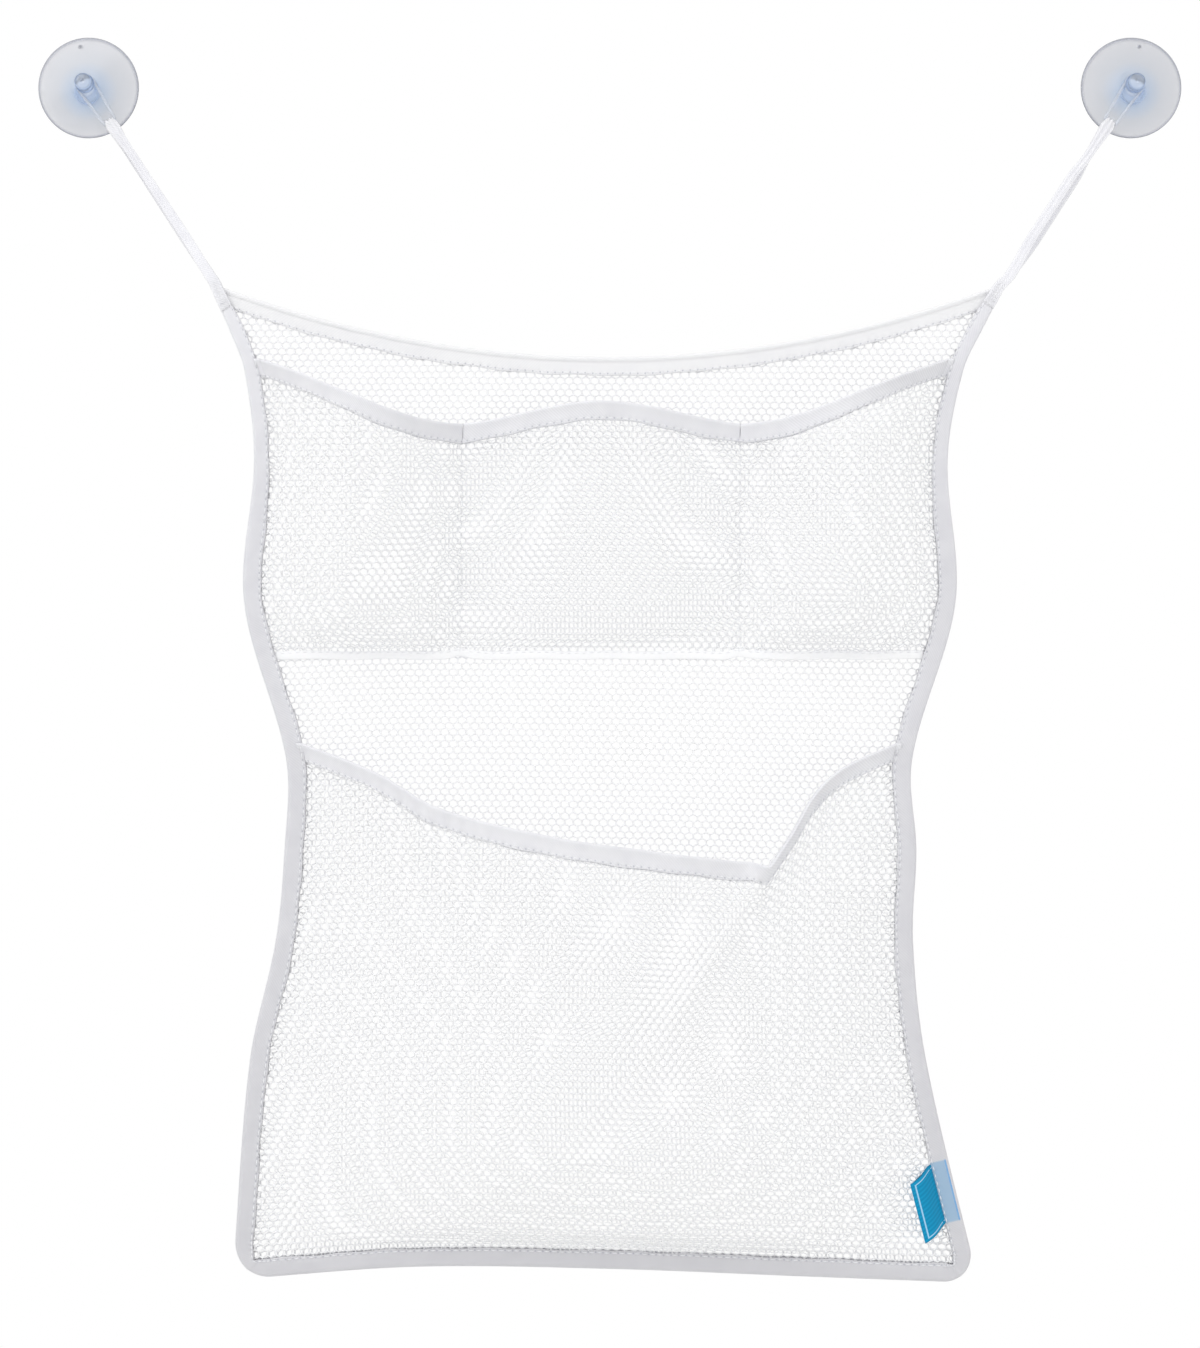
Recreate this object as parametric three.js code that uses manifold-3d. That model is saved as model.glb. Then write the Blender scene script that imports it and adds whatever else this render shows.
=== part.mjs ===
// Bath toy organizer: a wall bag of white net. A row of three small pockets sits above one large
// pocket on a full back panel, every edge is bound in folded tape, and two tape straps with clear
// cord hangers hang the bag from two suction cups. A small woven tab is caught in one side seam.
//
// Millimetres. +X to the right seen from the front, +Y into the wall, +Z up.
// The origin lies on the wall, midway between the suction cups. Sizes are given as x, as drop
// below the cups and as out, the distance from the wall.

import * as THREE from "three";
import { mergeVertices } from "three/addons/utils/BufferGeometryUtils.js";
import Module from "manifold-3d";

const wasm = await Module();
wasm.setup();

// Cloth, tape and the clearance between sewn layers.
const NET_THICK = 0.6;
const TAPE_THICK = 0.5;
const TAPE_WIDTH = 8.7;
const SEAM_GAP = 0.3;
const WALL_CLEAR = 1.3;

// Side outline of the hanging bag from its top corners down: the drop, half the width there, and
// how far the middle leans to the left.
const CORNER = { drop: 92, half: 184, lean: 1 };
const CHEST = { drop: 174, half: 162.6, lean: 4 };
const HIP = { drop: 232, half: 166.2, lean: 4.7 };
const WAIST = { drop: 314, half: 145.6, lean: 5.2 };
const THIGH = { drop: 398, half: 148.2, lean: 7.6 };
const FLARE = { drop: 454, half: 157.7, lean: 10.2 };
const FOOT = { drop: 555, half: 173, lean: 2 };
const TOP_SAG = 34;
const FOOT_INNER_RADIUS = 4.5;

// The net, drawn with few and large gaps: six-sided ones on the flat back panel and four-sided ones on
// the large pocket, where a gap takes this many parts of the cloth to one part of strand.
const NET_PITCH = 31;
const NET_STRAND = 3.2;
const GAP_PARTS = 5;

// Row of small pockets: the seam at its foot, the two dividing seams, where along the mouth the outer
// bays dip most, and how far each bay bulges. A swell gives the share of the bulge at shares of the
// height from the seam to the mouth.
const ROW_SEAM_DROP = 263;
const ROW_HEM = 4;
const ROW_DIVIDER = 65;
const ROW_END_DROP = 127;
const ROW_DIP_SHARE = 0.232;
const ROW_SIDE_DIP = 30;
const ROW_MIDDLE_DIP = 21;
const ROW_SIDE_BULGE = 36;
const ROW_MIDDLE_BULGE = 15;
const ROW_SWELL = [[0, 0], [0.12, 0.62], [0.35, 1], [0.7, 0.92], [1, 0.7]];

// Large pocket: its mouth hangs from both sides to a low corner right of the middle, from where a
// fold runs down and to the left into the net.
const LARGE_END_DROP = 306;
const LARGE_DIP = 56;
const LARGE_LOW_SHARE = 0.775;
const LARGE_BULGE = 58;
const LARGE_SWELL = [[0, 0], [0.08, 0.42], [0.28, 0.95], [0.45, 1], [0.75, 0.85], [1, 0.62]];
const LARGE_GAPS = 10;
const LARGE_GAPS_UP = 6;
const FOLD_HEIGHT = 5;
const FOLD_WIDTH = 9;
const FOLD_DROP = 75;
const FOLD_SIDEWAYS = 50;

// Suction cups of soft clear plastic, with a stepped knob and a moulding pip, which sits a share of
// the way up the dome and is turned off the top.
const CUP_SPACING = 487.4;
const CUP_DIAMETER = 47;
const CUP_LIP_WIDTH = 3.5;
const CUP_LIP_THICK = 0.9;
const CUP_HOLLOW = 2;
const CUP_DOME = 4.2;
const COLLAR_DIAMETER = 9.8;
const COLLAR_LENGTH = 1.6;
const COLLAR_FILLET = 1.2;
const NECK_DIAMETER = 6.2;
const NECK_LENGTH = 2.4;
const FLANGE_DIAMETER = 8.8;
const FLANGE_LENGTH = 1.3;
const TIP_DIAMETER = 7.2;
const TIP_LENGTH = 4.6;
const TIP_CROWN = 1.5;
const PIP_DIAMETER = 1.8;
const PIP_CLIMB_SHARE = 0.2;
const PIP_TURN = 11;

// Clear cord hangers and the straps that are gathered round them.
const CORD_DIAMETER = 1.4;
const HANGER_REACH = 21;
const STRAP_WIDTH = 7.8;
const STRAP_EYE_WIDTH = 3.8;
const STRAP_GATHER = 53;
const STRAP_SEWN = 13;

// Woven tab in the right side seam, its middle a rise above the foot.
const TAB_RISE = 39;
const TAB_LENGTH = 28;
const TAB_REACH = 14;
const TAB_THICK = 0.4;
const TAB_TILT = 42;

// Facets. The large pocket's columns stand closer from a share before to a share after the mouth's
// low corner.
const EDGE_STEPS = 22;
const CORNER_STEPS = 5;
const ROUND_SIDES = 36;
const CORD_SIDES = 8;
const CLOSE_SHARE_BEFORE = 0.05;
const CLOSE_SHARE_AFTER = 0.09;

// Layers of a bound side seam from the wall outwards.
const BIND_BACK = WALL_CLEAR;
const PANEL_BACK = BIND_BACK + TAPE_THICK + SEAM_GAP;
const PANEL_FRONT = PANEL_BACK + NET_THICK;
const POCKET_OUT = PANEL_FRONT + TAPE_THICK + 2 * SEAM_GAP + NET_THICK / 2;
const BIND_FRONT = POCKET_OUT + NET_THICK / 2 + SEAM_GAP + TAPE_THICK;
const TOP_BIND_FRONT = PANEL_FRONT + SEAM_GAP + TAPE_THICK;
const EDGE_INSET = TAPE_THICK + SEAM_GAP;
const SEAM_DEPTH = TAPE_WIDTH + 2 * SEAM_GAP;
const FOOT_RADIUS = TAPE_WIDTH + FOOT_INNER_RADIUS;
const POCKET_REACH = POCKET_OUT + Math.max(ROW_SIDE_BULGE, LARGE_BULGE + FOLD_HEIGHT) + TAPE_WIDTH;

const { lerp, degToRad, smoothstep } = THREE.MathUtils;
const at = (x, out, drop) => new THREE.Vector3(x, -out, -drop);
const shares = (count) => Array.from({ length: count + 1 }, (_, i) => i / count);

// Smooth curve through stations [x, y] of rising x, by cubic pieces.
function through(stations, x) {
  let i = 1;
  while (i < stations.length - 1 && x > stations[i][0]) i += 1;
  const [a, b] = [stations[i - 1], stations[i]];
  const slope = (p, q) => (q[1] - p[1]) / (q[0] - p[0]);
  const span = b[0] - a[0];
  const t = (x - a[0]) / span;
  const leave = slope(stations[i - 2] ?? a, b) * span;
  const arrive = slope(a, stations[i + 1] ?? b) * span;
  const bend = t * t * (3 - 2 * t);
  return lerp(a[1], b[1], bend) + t * (1 - t) * ((1 - t) * leave - t * arrive);
}

// Closed skin over a row of rings, each quad split along its shorter diagonal. With an outline the
// two ends are capped by it, without one the last ring joins the first.
function skin(rings, outline) {
  const points = rings.flat();
  const sides = rings[0].length;
  const bands = outline ? rings.length - 1 : rings.length;
  const index = [];
  for (let i = 0; i < bands; i += 1) {
    const a = i * sides;
    const b = ((i + 1) % rings.length) * sides;
    for (let j = 0; j < sides; j += 1) {
      const k = (j + 1) % sides;
      const rising = points[a + j].distanceTo(points[b + k]);
      const falling = points[a + k].distanceTo(points[b + j]);
      if (rising < falling) index.push(a + j, a + k, b + k, a + j, b + k, b + j);
      else index.push(a + j, a + k, b + j, a + k, b + k, b + j);
    }
  }
  if (outline) {
    const far = (rings.length - 1) * sides;
    const flat = outline.map(([x, y]) => new THREE.Vector2(x, y));
    for (const [i, j, k] of THREE.ShapeUtils.triangulateShape(flat, [])) {
      index.push(k, j, i, far + i, far + j, far + k);
    }
  }
  const geometry = new THREE.BufferGeometry().setFromPoints(points);
  geometry.setIndex(index);
  return toGeometry(toSolid(geometry));
}

// A closed geometry as a solid, turned so that its faces point out.
function toSolid(geometry) {
  const bare = new THREE.BufferGeometry();
  bare.setAttribute("position", geometry.getAttribute("position"));
  bare.setIndex(geometry.index);
  const merged = mergeVertices(bare, 1e-4);
  const vertProperties = new Float32Array(merged.getAttribute("position").array);
  const triVerts = new Uint32Array(merged.index.array);
  const solid = new wasm.Manifold(new wasm.Mesh({ numProp: 3, vertProperties, triVerts }));
  if (solid.volume() >= 0) return solid;
  triVerts.reverse();
  return new wasm.Manifold(new wasm.Mesh({ numProp: 3, vertProperties, triVerts }));
}

function toGeometry(solid) {
  const { vertProperties, triVerts } = solid.getMesh();
  const geometry = new THREE.BufferGeometry();
  geometry.setAttribute("position", new THREE.BufferAttribute(vertProperties, 3));
  geometry.setIndex(new THREE.BufferAttribute(triVerts, 1));
  geometry.computeVertexNormals();
  return geometry;
}

const cut = (a, ...tools) =>
  toGeometry(tools.reduce((solid, tool) => solid.subtract(toSolid(tool)), toSolid(a)));
const trim = (a, b) => toGeometry(toSolid(a).intersect(toSolid(b)));
const join = (a, b) => toGeometry(toSolid(a).add(toSolid(b)));

// Outline of the bag. side is -1 at the left and 1 at the right.
const STATIONS = [CORNER, CHEST, HIP, WAIST, THIGH, FLARE, FOOT];
const halfAt = (drop) => through(STATIONS.map((s) => [s.drop, s.half]), drop);
const leanAt = (drop) => through(STATIONS.map((s) => [s.drop, s.lean]), drop);
const edgeX = (side, drop) => side * halfAt(drop) - leanAt(drop);
const topDrop = (x) => {
  const middle = -CORNER.lean;
  return CORNER.drop + TOP_SAG * (1 - ((x - middle) / CORNER.half) ** 2);
};

// How fast a side edge moves out with the drop, and the x of a line that runs inside it at a given
// depth, square to the edge.
const slopeAt = (side, drop) => edgeX(side, drop + 0.5) - edgeX(side, drop - 0.5);
const insideX = (side, drop, depth) =>
  edgeX(side, drop) - side * depth * Math.hypot(1, slopeAt(side, drop));

// Edge of one side from above the top corner down, round the foot corner and on along the foot.
function sideEdge(side) {
  const centreDrop = FOOT.drop - FOOT_RADIUS;
  const centreX = insideX(side, centreDrop, FOOT_RADIUS);
  const start = -Math.atan(side * slopeAt(side, centreDrop));
  const turn = centreDrop + FOOT_RADIUS * Math.sin(start);
  const run = shares(EDGE_STEPS).map((t) => {
    const drop = lerp(CORNER.drop - TAPE_WIDTH / 3, turn, t);
    return new THREE.Vector2(edgeX(side, drop), drop);
  });
  const corner = shares(CORNER_STEPS).slice(1).map((t) => {
    const angle = lerp(start, Math.PI / 2, t);
    const x = centreX + side * FOOT_RADIUS * Math.cos(angle);
    return new THREE.Vector2(x, centreDrop + FOOT_RADIUS * Math.sin(angle));
  });
  return [...run, ...corner, new THREE.Vector2(centreX - side * TAPE_WIDTH, FOOT.drop)];
}

// Frames along an edge that runs with the bag on its left: each point with its way into the bag.
function frames(points) {
  return points.map((point, i) => {
    const before = points[i - 1] ?? point;
    const after = points[i + 1] ?? point;
    const way = after.clone().sub(before).normalize();
    return { point, inward: new THREE.Vector2(way.y, -way.x) };
  });
}

// A tape section swept along an edge. The section is given as [depth into the bag, out].
function sweepEdge(points, section) {
  const rings = frames(points).map(({ point, inward }) =>
    section.map(([depth, out]) =>
      at(point.x + inward.x * depth, out, point.y + inward.y * depth)));
  return skin(rings, section);
}

// Section of a tape folded in half round a seam.
function foldedTape(back, front) {
  const t = TAPE_THICK;
  const w = TAPE_WIDTH;
  return [
    [t, back], [w, back], [w, back + t], [t, back + t], [t, front - t],
    [w, front - t], [w, front], [t, front], [0, front - t], [0, back + t],
  ];
}

// Flat plates between two distances from the wall, from shapes drawn in x and height.
function plate(shapes, back, front) {
  const settings = { depth: front - back, bevelEnabled: false, curveSegments: 1 };
  return new THREE.ExtrudeGeometry(shapes, settings).rotateX(Math.PI / 2).translate(0, -back, 0);
}

const leftEdge = sideEdge(-1);
const rightEdge = sideEdge(1).reverse();
const footEdge = [
  leftEdge.at(-1).clone().add(new THREE.Vector2(SEAM_GAP, 0)),
  rightEdge[0].clone().sub(new THREE.Vector2(SEAM_GAP, 0)),
];
const topEdge = shares(EDGE_STEPS).map((t) => {
  const x = lerp(edgeX(1, CORNER.drop), edgeX(-1, CORNER.drop), t);
  return new THREE.Vector2(x, topDrop(x));
});

// Outline of the bag drawn in by an inset from its bound edges.
function clothShape(inset) {
  const place = ({ point, inward }) => point.clone().addScaledVector(inward, inset);
  const corner = (side) => {
    let drop = CORNER.drop + inset;
    for (let i = 0; i < 6; i += 1) drop = topDrop(insideX(side, drop, inset)) + inset;
    return new THREE.Vector2(insideX(side, drop, inset), drop);
  };
  const [leftTop, rightTop] = [corner(-1), corner(1)];
  const left = frames(leftEdge).map(place).filter((p) => p.y > leftTop.y + 1);
  const right = frames(rightEdge).map(place).filter((p) => p.y > rightTop.y + 1);
  const top = shares(EDGE_STEPS).slice(1, -1).map((t) => {
    const x = lerp(rightTop.x, leftTop.x, t);
    return new THREE.Vector2(x, topDrop(x) + inset);
  });
  const loop = [leftTop, ...left, ...right, rightTop, ...top];
  return new THREE.Shape(loop.map((p) => new THREE.Vector2(p.x, -p.y)));
}

// Six-sided gaps of the back panel's net, wherever the middle of one lies clear of the bindings. The
// panel's field cuts off what would reach under them.
function netGaps() {
  const margin = TAPE_WIDTH + NET_STRAND;
  const radius = (NET_PITCH - NET_STRAND) / Math.sqrt(3);
  const rowStep = (NET_PITCH * Math.sqrt(3)) / 2;
  const reach = Math.ceil(CORNER.half / NET_PITCH);
  const inside = (x, drop) =>
    x > insideX(-1, drop, margin) && x < insideX(1, drop, margin)
    && drop > topDrop(x) + margin && drop < FOOT.drop - margin;
  const gaps = [];
  for (let row = 0; CORNER.drop + row * rowStep < FOOT.drop; row += 1) {
    const drop = CORNER.drop + row * rowStep;
    for (let i = -reach; i <= reach; i += 1) {
      const x = (i + (row % 2) / 2) * NET_PITCH - leanAt(drop);
      if (!inside(x, drop)) continue;
      gaps.push(new THREE.Shape(shares(6).slice(1).map((t) => {
        const angle = 2 * Math.PI * (t + 1 / 12);
        return new THREE.Vector2(x + radius * Math.cos(angle), radius * Math.sin(angle) - drop);
      })));
    }
  }
  return gaps;
}

function backPanel() {
  const panel = plate(clothShape(EDGE_INSET), PANEL_BACK, PANEL_FRONT);
  const field = plate(clothShape(TAPE_WIDTH + NET_STRAND / 2), 0, BIND_FRONT);
  return cut(panel, trim(plate(netGaps(), WALL_CLEAR, POCKET_OUT), field));
}

// Lines along the strands of a pocket's net, as shares of its width or height, with one strand more
// than gaps. Lines inside a gap are left out, except where close says so.
const GAP_PERIOD = GAP_PARTS + 1;
const netLines = (gaps, close = () => false) =>
  shares(gaps * GAP_PERIOD + 1).filter((t, i) => i % GAP_PERIOD < 2 || close(t));

// For each strip between neighbouring lines, whether it lies in a gap.
const gapStrips = (lines, gaps) => lines.slice(1).map((t, i) => {
  const part = ((lines[i] + t) / 2) * (gaps * GAP_PERIOD + 1);
  return Math.floor(part) % GAP_PERIOD > 0;
});

// A pocket sheet as columns from side to side, each a list of points from foot to mouth. Bays lie
// between the borders, which are functions of the drop, and steps and heights are the shares of a bay
// and of the height at which points stand. The last three points of a column carry the mouth's tape.
function drape({ borders, bulges, steps, heights, mouth, seam, foot, rise, pull, fold }) {
  const [first, last] = [borders[0], borders.at(-1)];
  const hidden = (side) => (drop) => insideX(side, drop, EDGE_INSET + SEAM_GAP);
  const column = (xAt, bay, t) => {
    const share = THREE.MathUtils.clamp((xAt(seam) - first(seam)) / (last(seam) - first(seam)), 0, 1);
    const edge = mouth(share) + EDGE_INSET;
    const under = edge + TAPE_WIDTH - EDGE_INSET;
    const drops = [foot, ...heights.map((k) => lerp(seam, under, k)), (under + edge) / 2, edge];
    return drops.map((drop) => {
      const up = THREE.MathUtils.clamp((seam - drop) / (seam - edge), 0, 1);
      const swell = bulges[bay] * Math.sin(Math.PI * t) * rise(up);
      const crease = fold ? fold(xAt(drop), drop, up) * Math.sin(Math.PI * t) : 0;
      return at(xAt(drop), POCKET_OUT - pull * (1 - up) ** 2 + swell + crease, drop);
    });
  };
  const columns = [column(hidden(-1), 0, 0)];
  bulges.forEach((_, bay) => {
    for (const t of steps.slice(bay ? 1 : 0)) {
      columns.push(column((drop) => lerp(borders[bay](drop), borders[bay + 1](drop), t), bay, t));
    }
  });
  columns.push(column(hidden(1), bulges.length - 1, 1));
  return columns;
}

// Unit normals of a draped sheet, towards the front.
function normals(columns) {
  const pick = (list, i) => list[THREE.MathUtils.clamp(i, 0, list.length - 1)];
  return columns.map((column, i) => column.map((_, j) => {
    const across = pick(columns, i + 1)[j].clone().sub(pick(columns, i - 1)[j]);
    const up = pick(column, j + 1).clone().sub(pick(column, j - 1));
    return across.cross(up).normalize();
  }));
}

// The sheet itself, cut to the cloth outline. open tells whether the cell after a column and a row is a
// gap. Every filled cell has a front and a back, each split along its shorter diagonal, and a wall
// wherever no filled cell follows.
function pocketSheet({ columns, open }, cloth) {
  const normal = normals(columns);
  const count = columns[0].length;
  const layer = (offset) => columns.flatMap((column, i) =>
    column.map((p, j) => p.clone().addScaledVector(normal[i][j], offset)));
  const points = [...layer(NET_THICK / 2), ...layer(-NET_THICK / 2)];
  const back = columns.length * count;
  const index = [];
  const quad = (a, b, c, d) => {
    if (points[a].distanceTo(points[c]) < points[b].distanceTo(points[d])) index.push(a, b, c, a, c, d);
    else index.push(a, b, d, b, c, d);
  };
  const wall = (a, b) => quad(b, a, back + a, back + b);
  const filled = (i, j) =>
    i >= 0 && j >= 0 && i < columns.length - 1 && j < count - 1 && !open(i, j);
  for (let i = 0; i < columns.length - 1; i += 1) {
    for (let j = 0; j < count - 1; j += 1) {
      if (!filled(i, j)) continue;
      const [a, d] = [i * count + j, i * count + j + 1];
      const [b, c] = [a + count, d + count];
      quad(a, b, c, d);
      quad(back + d, back + c, back + b, back + a);
      if (!filled(i, j - 1)) wall(a, b);
      if (!filled(i + 1, j)) wall(b, c);
      if (!filled(i, j + 1)) wall(c, d);
      if (!filled(i - 1, j)) wall(d, a);
    }
  }
  const geometry = new THREE.BufferGeometry().setFromPoints(points);
  geometry.setIndex(index);
  return trim(geometry, cloth);
}

// Tape folded over the mouth of a sheet, following the sheet's last three points.
function mouthTape({ columns }) {
  const normal = normals(columns);
  const inner = NET_THICK / 2 + SEAM_GAP;
  const outer = inner + TAPE_THICK;
  const rings = columns.map((column, i) => {
    const leg = column.slice(-3);
    const over = leg[2].clone().sub(leg[1]).normalize();
    const place = (j, offset, rise = 0) =>
      leg[j].clone().addScaledVector(normal[i].at(j - 3), offset).addScaledVector(over, rise);
    return [
      place(0, outer), place(1, outer), place(2, outer), place(2, inner, EDGE_INSET),
      place(2, -inner, EDGE_INSET), place(2, -outer), place(1, -outer), place(0, -outer),
      place(0, -inner), place(1, -inner), place(2, -inner, SEAM_GAP),
      place(2, inner, SEAM_GAP), place(1, inner), place(0, inner),
    ];
  });
  const outline = [
    [3, 0], [3, 1], [3, 2], [2, 3], [-2, 3], [-3, 2], [-3, 1], [-3, 0],
    [-2, 0], [-2, 1], [-2, 2], [2, 2], [2, 1], [2, 0],
  ];
  return skin(rings, outline);
}

const leftSeam = (drop) => insideX(-1, drop, SEAM_DEPTH);
const rightSeam = (drop) => insideX(1, drop, SEAM_DEPTH);

function smallPockets() {
  const mouthLine = [
    [0, ROW_END_DROP],
    [ROW_DIP_SHARE, ROW_END_DROP + ROW_SIDE_DIP],
    [0.5, ROW_END_DROP + ROW_MIDDLE_DIP],
    [1 - ROW_DIP_SHARE, ROW_END_DROP + ROW_SIDE_DIP],
    [1, ROW_END_DROP],
  ];
  const columns = drape({
    borders: [leftSeam, (d) => -ROW_DIVIDER - leanAt(d), (d) => ROW_DIVIDER - leanAt(d), rightSeam],
    bulges: [ROW_SIDE_BULGE, ROW_MIDDLE_BULGE, ROW_SIDE_BULGE],
    steps: shares(10),
    heights: shares(7),
    mouth: (share) => through(mouthLine, share),
    seam: ROW_SEAM_DROP,
    foot: ROW_SEAM_DROP + ROW_HEM,
    rise: (up) => through(ROW_SWELL, up),
    pull: TAPE_THICK + SEAM_GAP,
  });
  return { columns, open: () => false };
}

function largePocket() {
  const low = LARGE_LOW_SHARE;
  const mouthLine = [
    [0, LARGE_END_DROP],
    [0.28 * low, LARGE_END_DROP + 0.55 * LARGE_DIP],
    [0.6 * low, LARGE_END_DROP + 0.83 * LARGE_DIP],
    [low, LARGE_END_DROP + LARGE_DIP],
    [low + 0.4 * (1 - low), LARGE_END_DROP + 0.34 * LARGE_DIP],
    [1, LARGE_END_DROP],
  ];
  const mouth = (share) => through(mouthLine, share);
  const foldX = lerp(leftSeam(mouth(low)), rightSeam(mouth(low)), low);
  const fold = (x, drop) => {
    const along = (drop - mouth(low)) / FOLD_DROP;
    const off = x - foldX + along * FOLD_SIDEWAYS;
    return FOLD_HEIGHT * Math.exp(-((off / FOLD_WIDTH) ** 2)) * (1 - smoothstep(along, 0.3, 1.3));
  };
  const close = (share) => share > low - CLOSE_SHARE_BEFORE && share < low + CLOSE_SHARE_AFTER;
  const [steps, heights] = [netLines(LARGE_GAPS, close), netLines(LARGE_GAPS_UP)];
  const columns = drape({
    borders: [leftSeam, rightSeam],
    bulges: [LARGE_BULGE],
    steps,
    heights,
    mouth,
    seam: FOOT.drop - SEAM_DEPTH,
    foot: FOOT.drop,
    rise: (up) => through(LARGE_SWELL, up),
    pull: 0,
    fold,
  });
  const across = [false, ...gapStrips(steps, LARGE_GAPS)];
  const upward = [false, ...gapStrips(heights, LARGE_GAPS_UP)];
  return { columns, open: (i, j) => Boolean(across[i] && upward[j]) };
}

// One suction cup about the axis of its knob: sealing lip, hollow, dome and the stepped knob.
function suctionCup(side) {
  const rim = CUP_DIAMETER / 2;
  const collar = CUP_DOME + COLLAR_LENGTH;
  const neck = collar + NECK_LENGTH;
  const flange = neck + FLANGE_LENGTH;
  const tip = flange + TIP_LENGTH;
  const hollow = new THREE.QuadraticBezierCurve(
    new THREE.Vector2(0, CUP_HOLLOW),
    new THREE.Vector2(rim / 2, CUP_HOLLOW),
    new THREE.Vector2(rim - CUP_LIP_WIDTH, 0),
  );
  const dome = new THREE.QuadraticBezierCurve(
    new THREE.Vector2(rim, CUP_LIP_THICK),
    new THREE.Vector2(rim / 2, CUP_LIP_THICK + COLLAR_FILLET),
    new THREE.Vector2(COLLAR_DIAMETER / 2 + COLLAR_FILLET, CUP_DOME),
  );
  const crown = new THREE.EllipseCurve(
    0, tip - TIP_CROWN, TIP_DIAMETER / 2, TIP_CROWN, 0, Math.PI / 2);
  const profile = [
    ...hollow.getPoints(4),
    new THREE.Vector2(rim, 0),
    ...dome.getPoints(5),
    new THREE.Vector2(COLLAR_DIAMETER / 2, CUP_DOME + COLLAR_FILLET / 2),
    new THREE.Vector2(COLLAR_DIAMETER / 2, collar),
    new THREE.Vector2(NECK_DIAMETER / 2, collar),
    new THREE.Vector2(NECK_DIAMETER / 2, neck),
    new THREE.Vector2(FLANGE_DIAMETER / 2, neck),
    new THREE.Vector2(FLANGE_DIAMETER / 2, flange),
    new THREE.Vector2(TIP_DIAMETER / 2, flange),
    ...crown.getPoints(4).slice(0, -1),
    new THREE.Vector2(0, tip),
  ];
  const body = new THREE.LatheGeometry(profile.map((p) => new THREE.Vector2(p.x, -p.y)), ROUND_SIDES);
  const seat = dome.getPoint(PIP_CLIMB_SHARE);
  const turn = degToRad(PIP_TURN);
  const pip = new THREE.SphereGeometry(PIP_DIAMETER / 2, 12, 8);
  pip.translate(side * seat.x * Math.sin(turn), -seat.y, seat.x * Math.cos(turn));
  return join(body, pip);
}

const HANGER_OUT = CUP_DOME + COLLAR_LENGTH + NECK_LENGTH / 2;
const CORD_RADIUS = CORD_DIAMETER / 2;

// Clear cord loop: round the neck of a knob and on to a short bar that carries the strap. It lies
// along +X from the knob's axis.
function hanger() {
  const neck = NECK_DIAMETER / 2 + SEAM_GAP + CORD_RADIUS;
  const half = STRAP_EYE_WIDTH / 2 + SEAM_GAP + CORD_RADIUS;
  const bend = Math.min(half, CORD_DIAMETER);
  const reach = HANGER_REACH;
  const open = Math.acos((neck - half) / reach);
  const loop = new THREE.Path();
  loop.absarc(0, 0, neck, open, 2 * Math.PI - open);
  loop.lineTo(reach - bend, -half);
  loop.quadraticCurveTo(reach, -half, reach, bend - half);
  loop.lineTo(reach, half - bend);
  loop.quadraticCurveTo(reach, half, reach - bend, half);
  loop.closePath();
  const path = loop.getPoints(6).slice(1).map((p) => new THREE.Vector3(p.x, -HANGER_OUT, -p.y));
  const level = new THREE.Vector3(0, 1, 0);
  const rings = path.map((p, i) => {
    const before = path[(i + path.length - 1) % path.length];
    const after = path[(i + 1) % path.length];
    const across = after.clone().sub(before).normalize().cross(level);
    return shares(CORD_SIDES).slice(1).map((t) => {
      const angle = 2 * Math.PI * t;
      return p.clone()
        .addScaledVector(across, CORD_RADIUS * Math.cos(angle))
        .addScaledVector(level, CORD_RADIUS * Math.sin(angle));
    });
  });
  return skin(rings);
}

// Tape strap: two legs from the hanger's bar, gathered there, to the bag's corner, where one lies
// in front of the bindings and one behind. It runs along +X, like the hanger.
function strap() {
  const length = Math.hypot(CUP_SPACING / 2 - CORNER.half, CORNER.drop);
  const turn = CORD_RADIUS + SEAM_GAP + TAPE_THICK / 2;
  const front = BIND_FRONT + SEAM_GAP + TAPE_THICK / 2;
  const back = BIND_BACK - SEAM_GAP - TAPE_THICK / 2;
  const start = length - STRAP_SEWN;
  const leg = (from, to) => new THREE.CubicBezierCurve(
    new THREE.Vector2(HANGER_REACH, from),
    new THREE.Vector2(lerp(HANGER_REACH, start, 0.4), from),
    new THREE.Vector2(lerp(HANGER_REACH, start, 0.6), to),
    new THREE.Vector2(start, to),
  ).getPoints(10);
  const eye = shares(8).slice(1, -1).map((t) => {
    const angle = Math.PI * (0.5 + t);
    const x = HANGER_REACH + turn * Math.cos(angle);
    return new THREE.Vector2(x, HANGER_OUT + turn * Math.sin(angle));
  });
  const path = [
    new THREE.Vector2(length + STRAP_SEWN, front),
    ...leg(HANGER_OUT + turn, front).reverse(),
    ...eye,
    ...leg(HANGER_OUT - turn, back),
    new THREE.Vector2(length + STRAP_SEWN, back),
  ];
  const rings = frames(path).map(({ point, inward }) => {
    const spread = smoothstep(point.x, HANGER_REACH, HANGER_REACH + STRAP_GATHER);
    const half = lerp(STRAP_EYE_WIDTH, STRAP_WIDTH, spread) / 2;
    const corner = (offset, width) => new THREE.Vector3(
      point.x + inward.x * offset, -point.y - inward.y * offset, width);
    const t = TAPE_THICK / 2;
    return [corner(t, half), corner(-t, half), corner(-t, -half), corner(t, -half)];
  });
  return skin(rings, [[1, 1], [-1, 1], [-1, -1], [1, -1]]);
}

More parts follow.
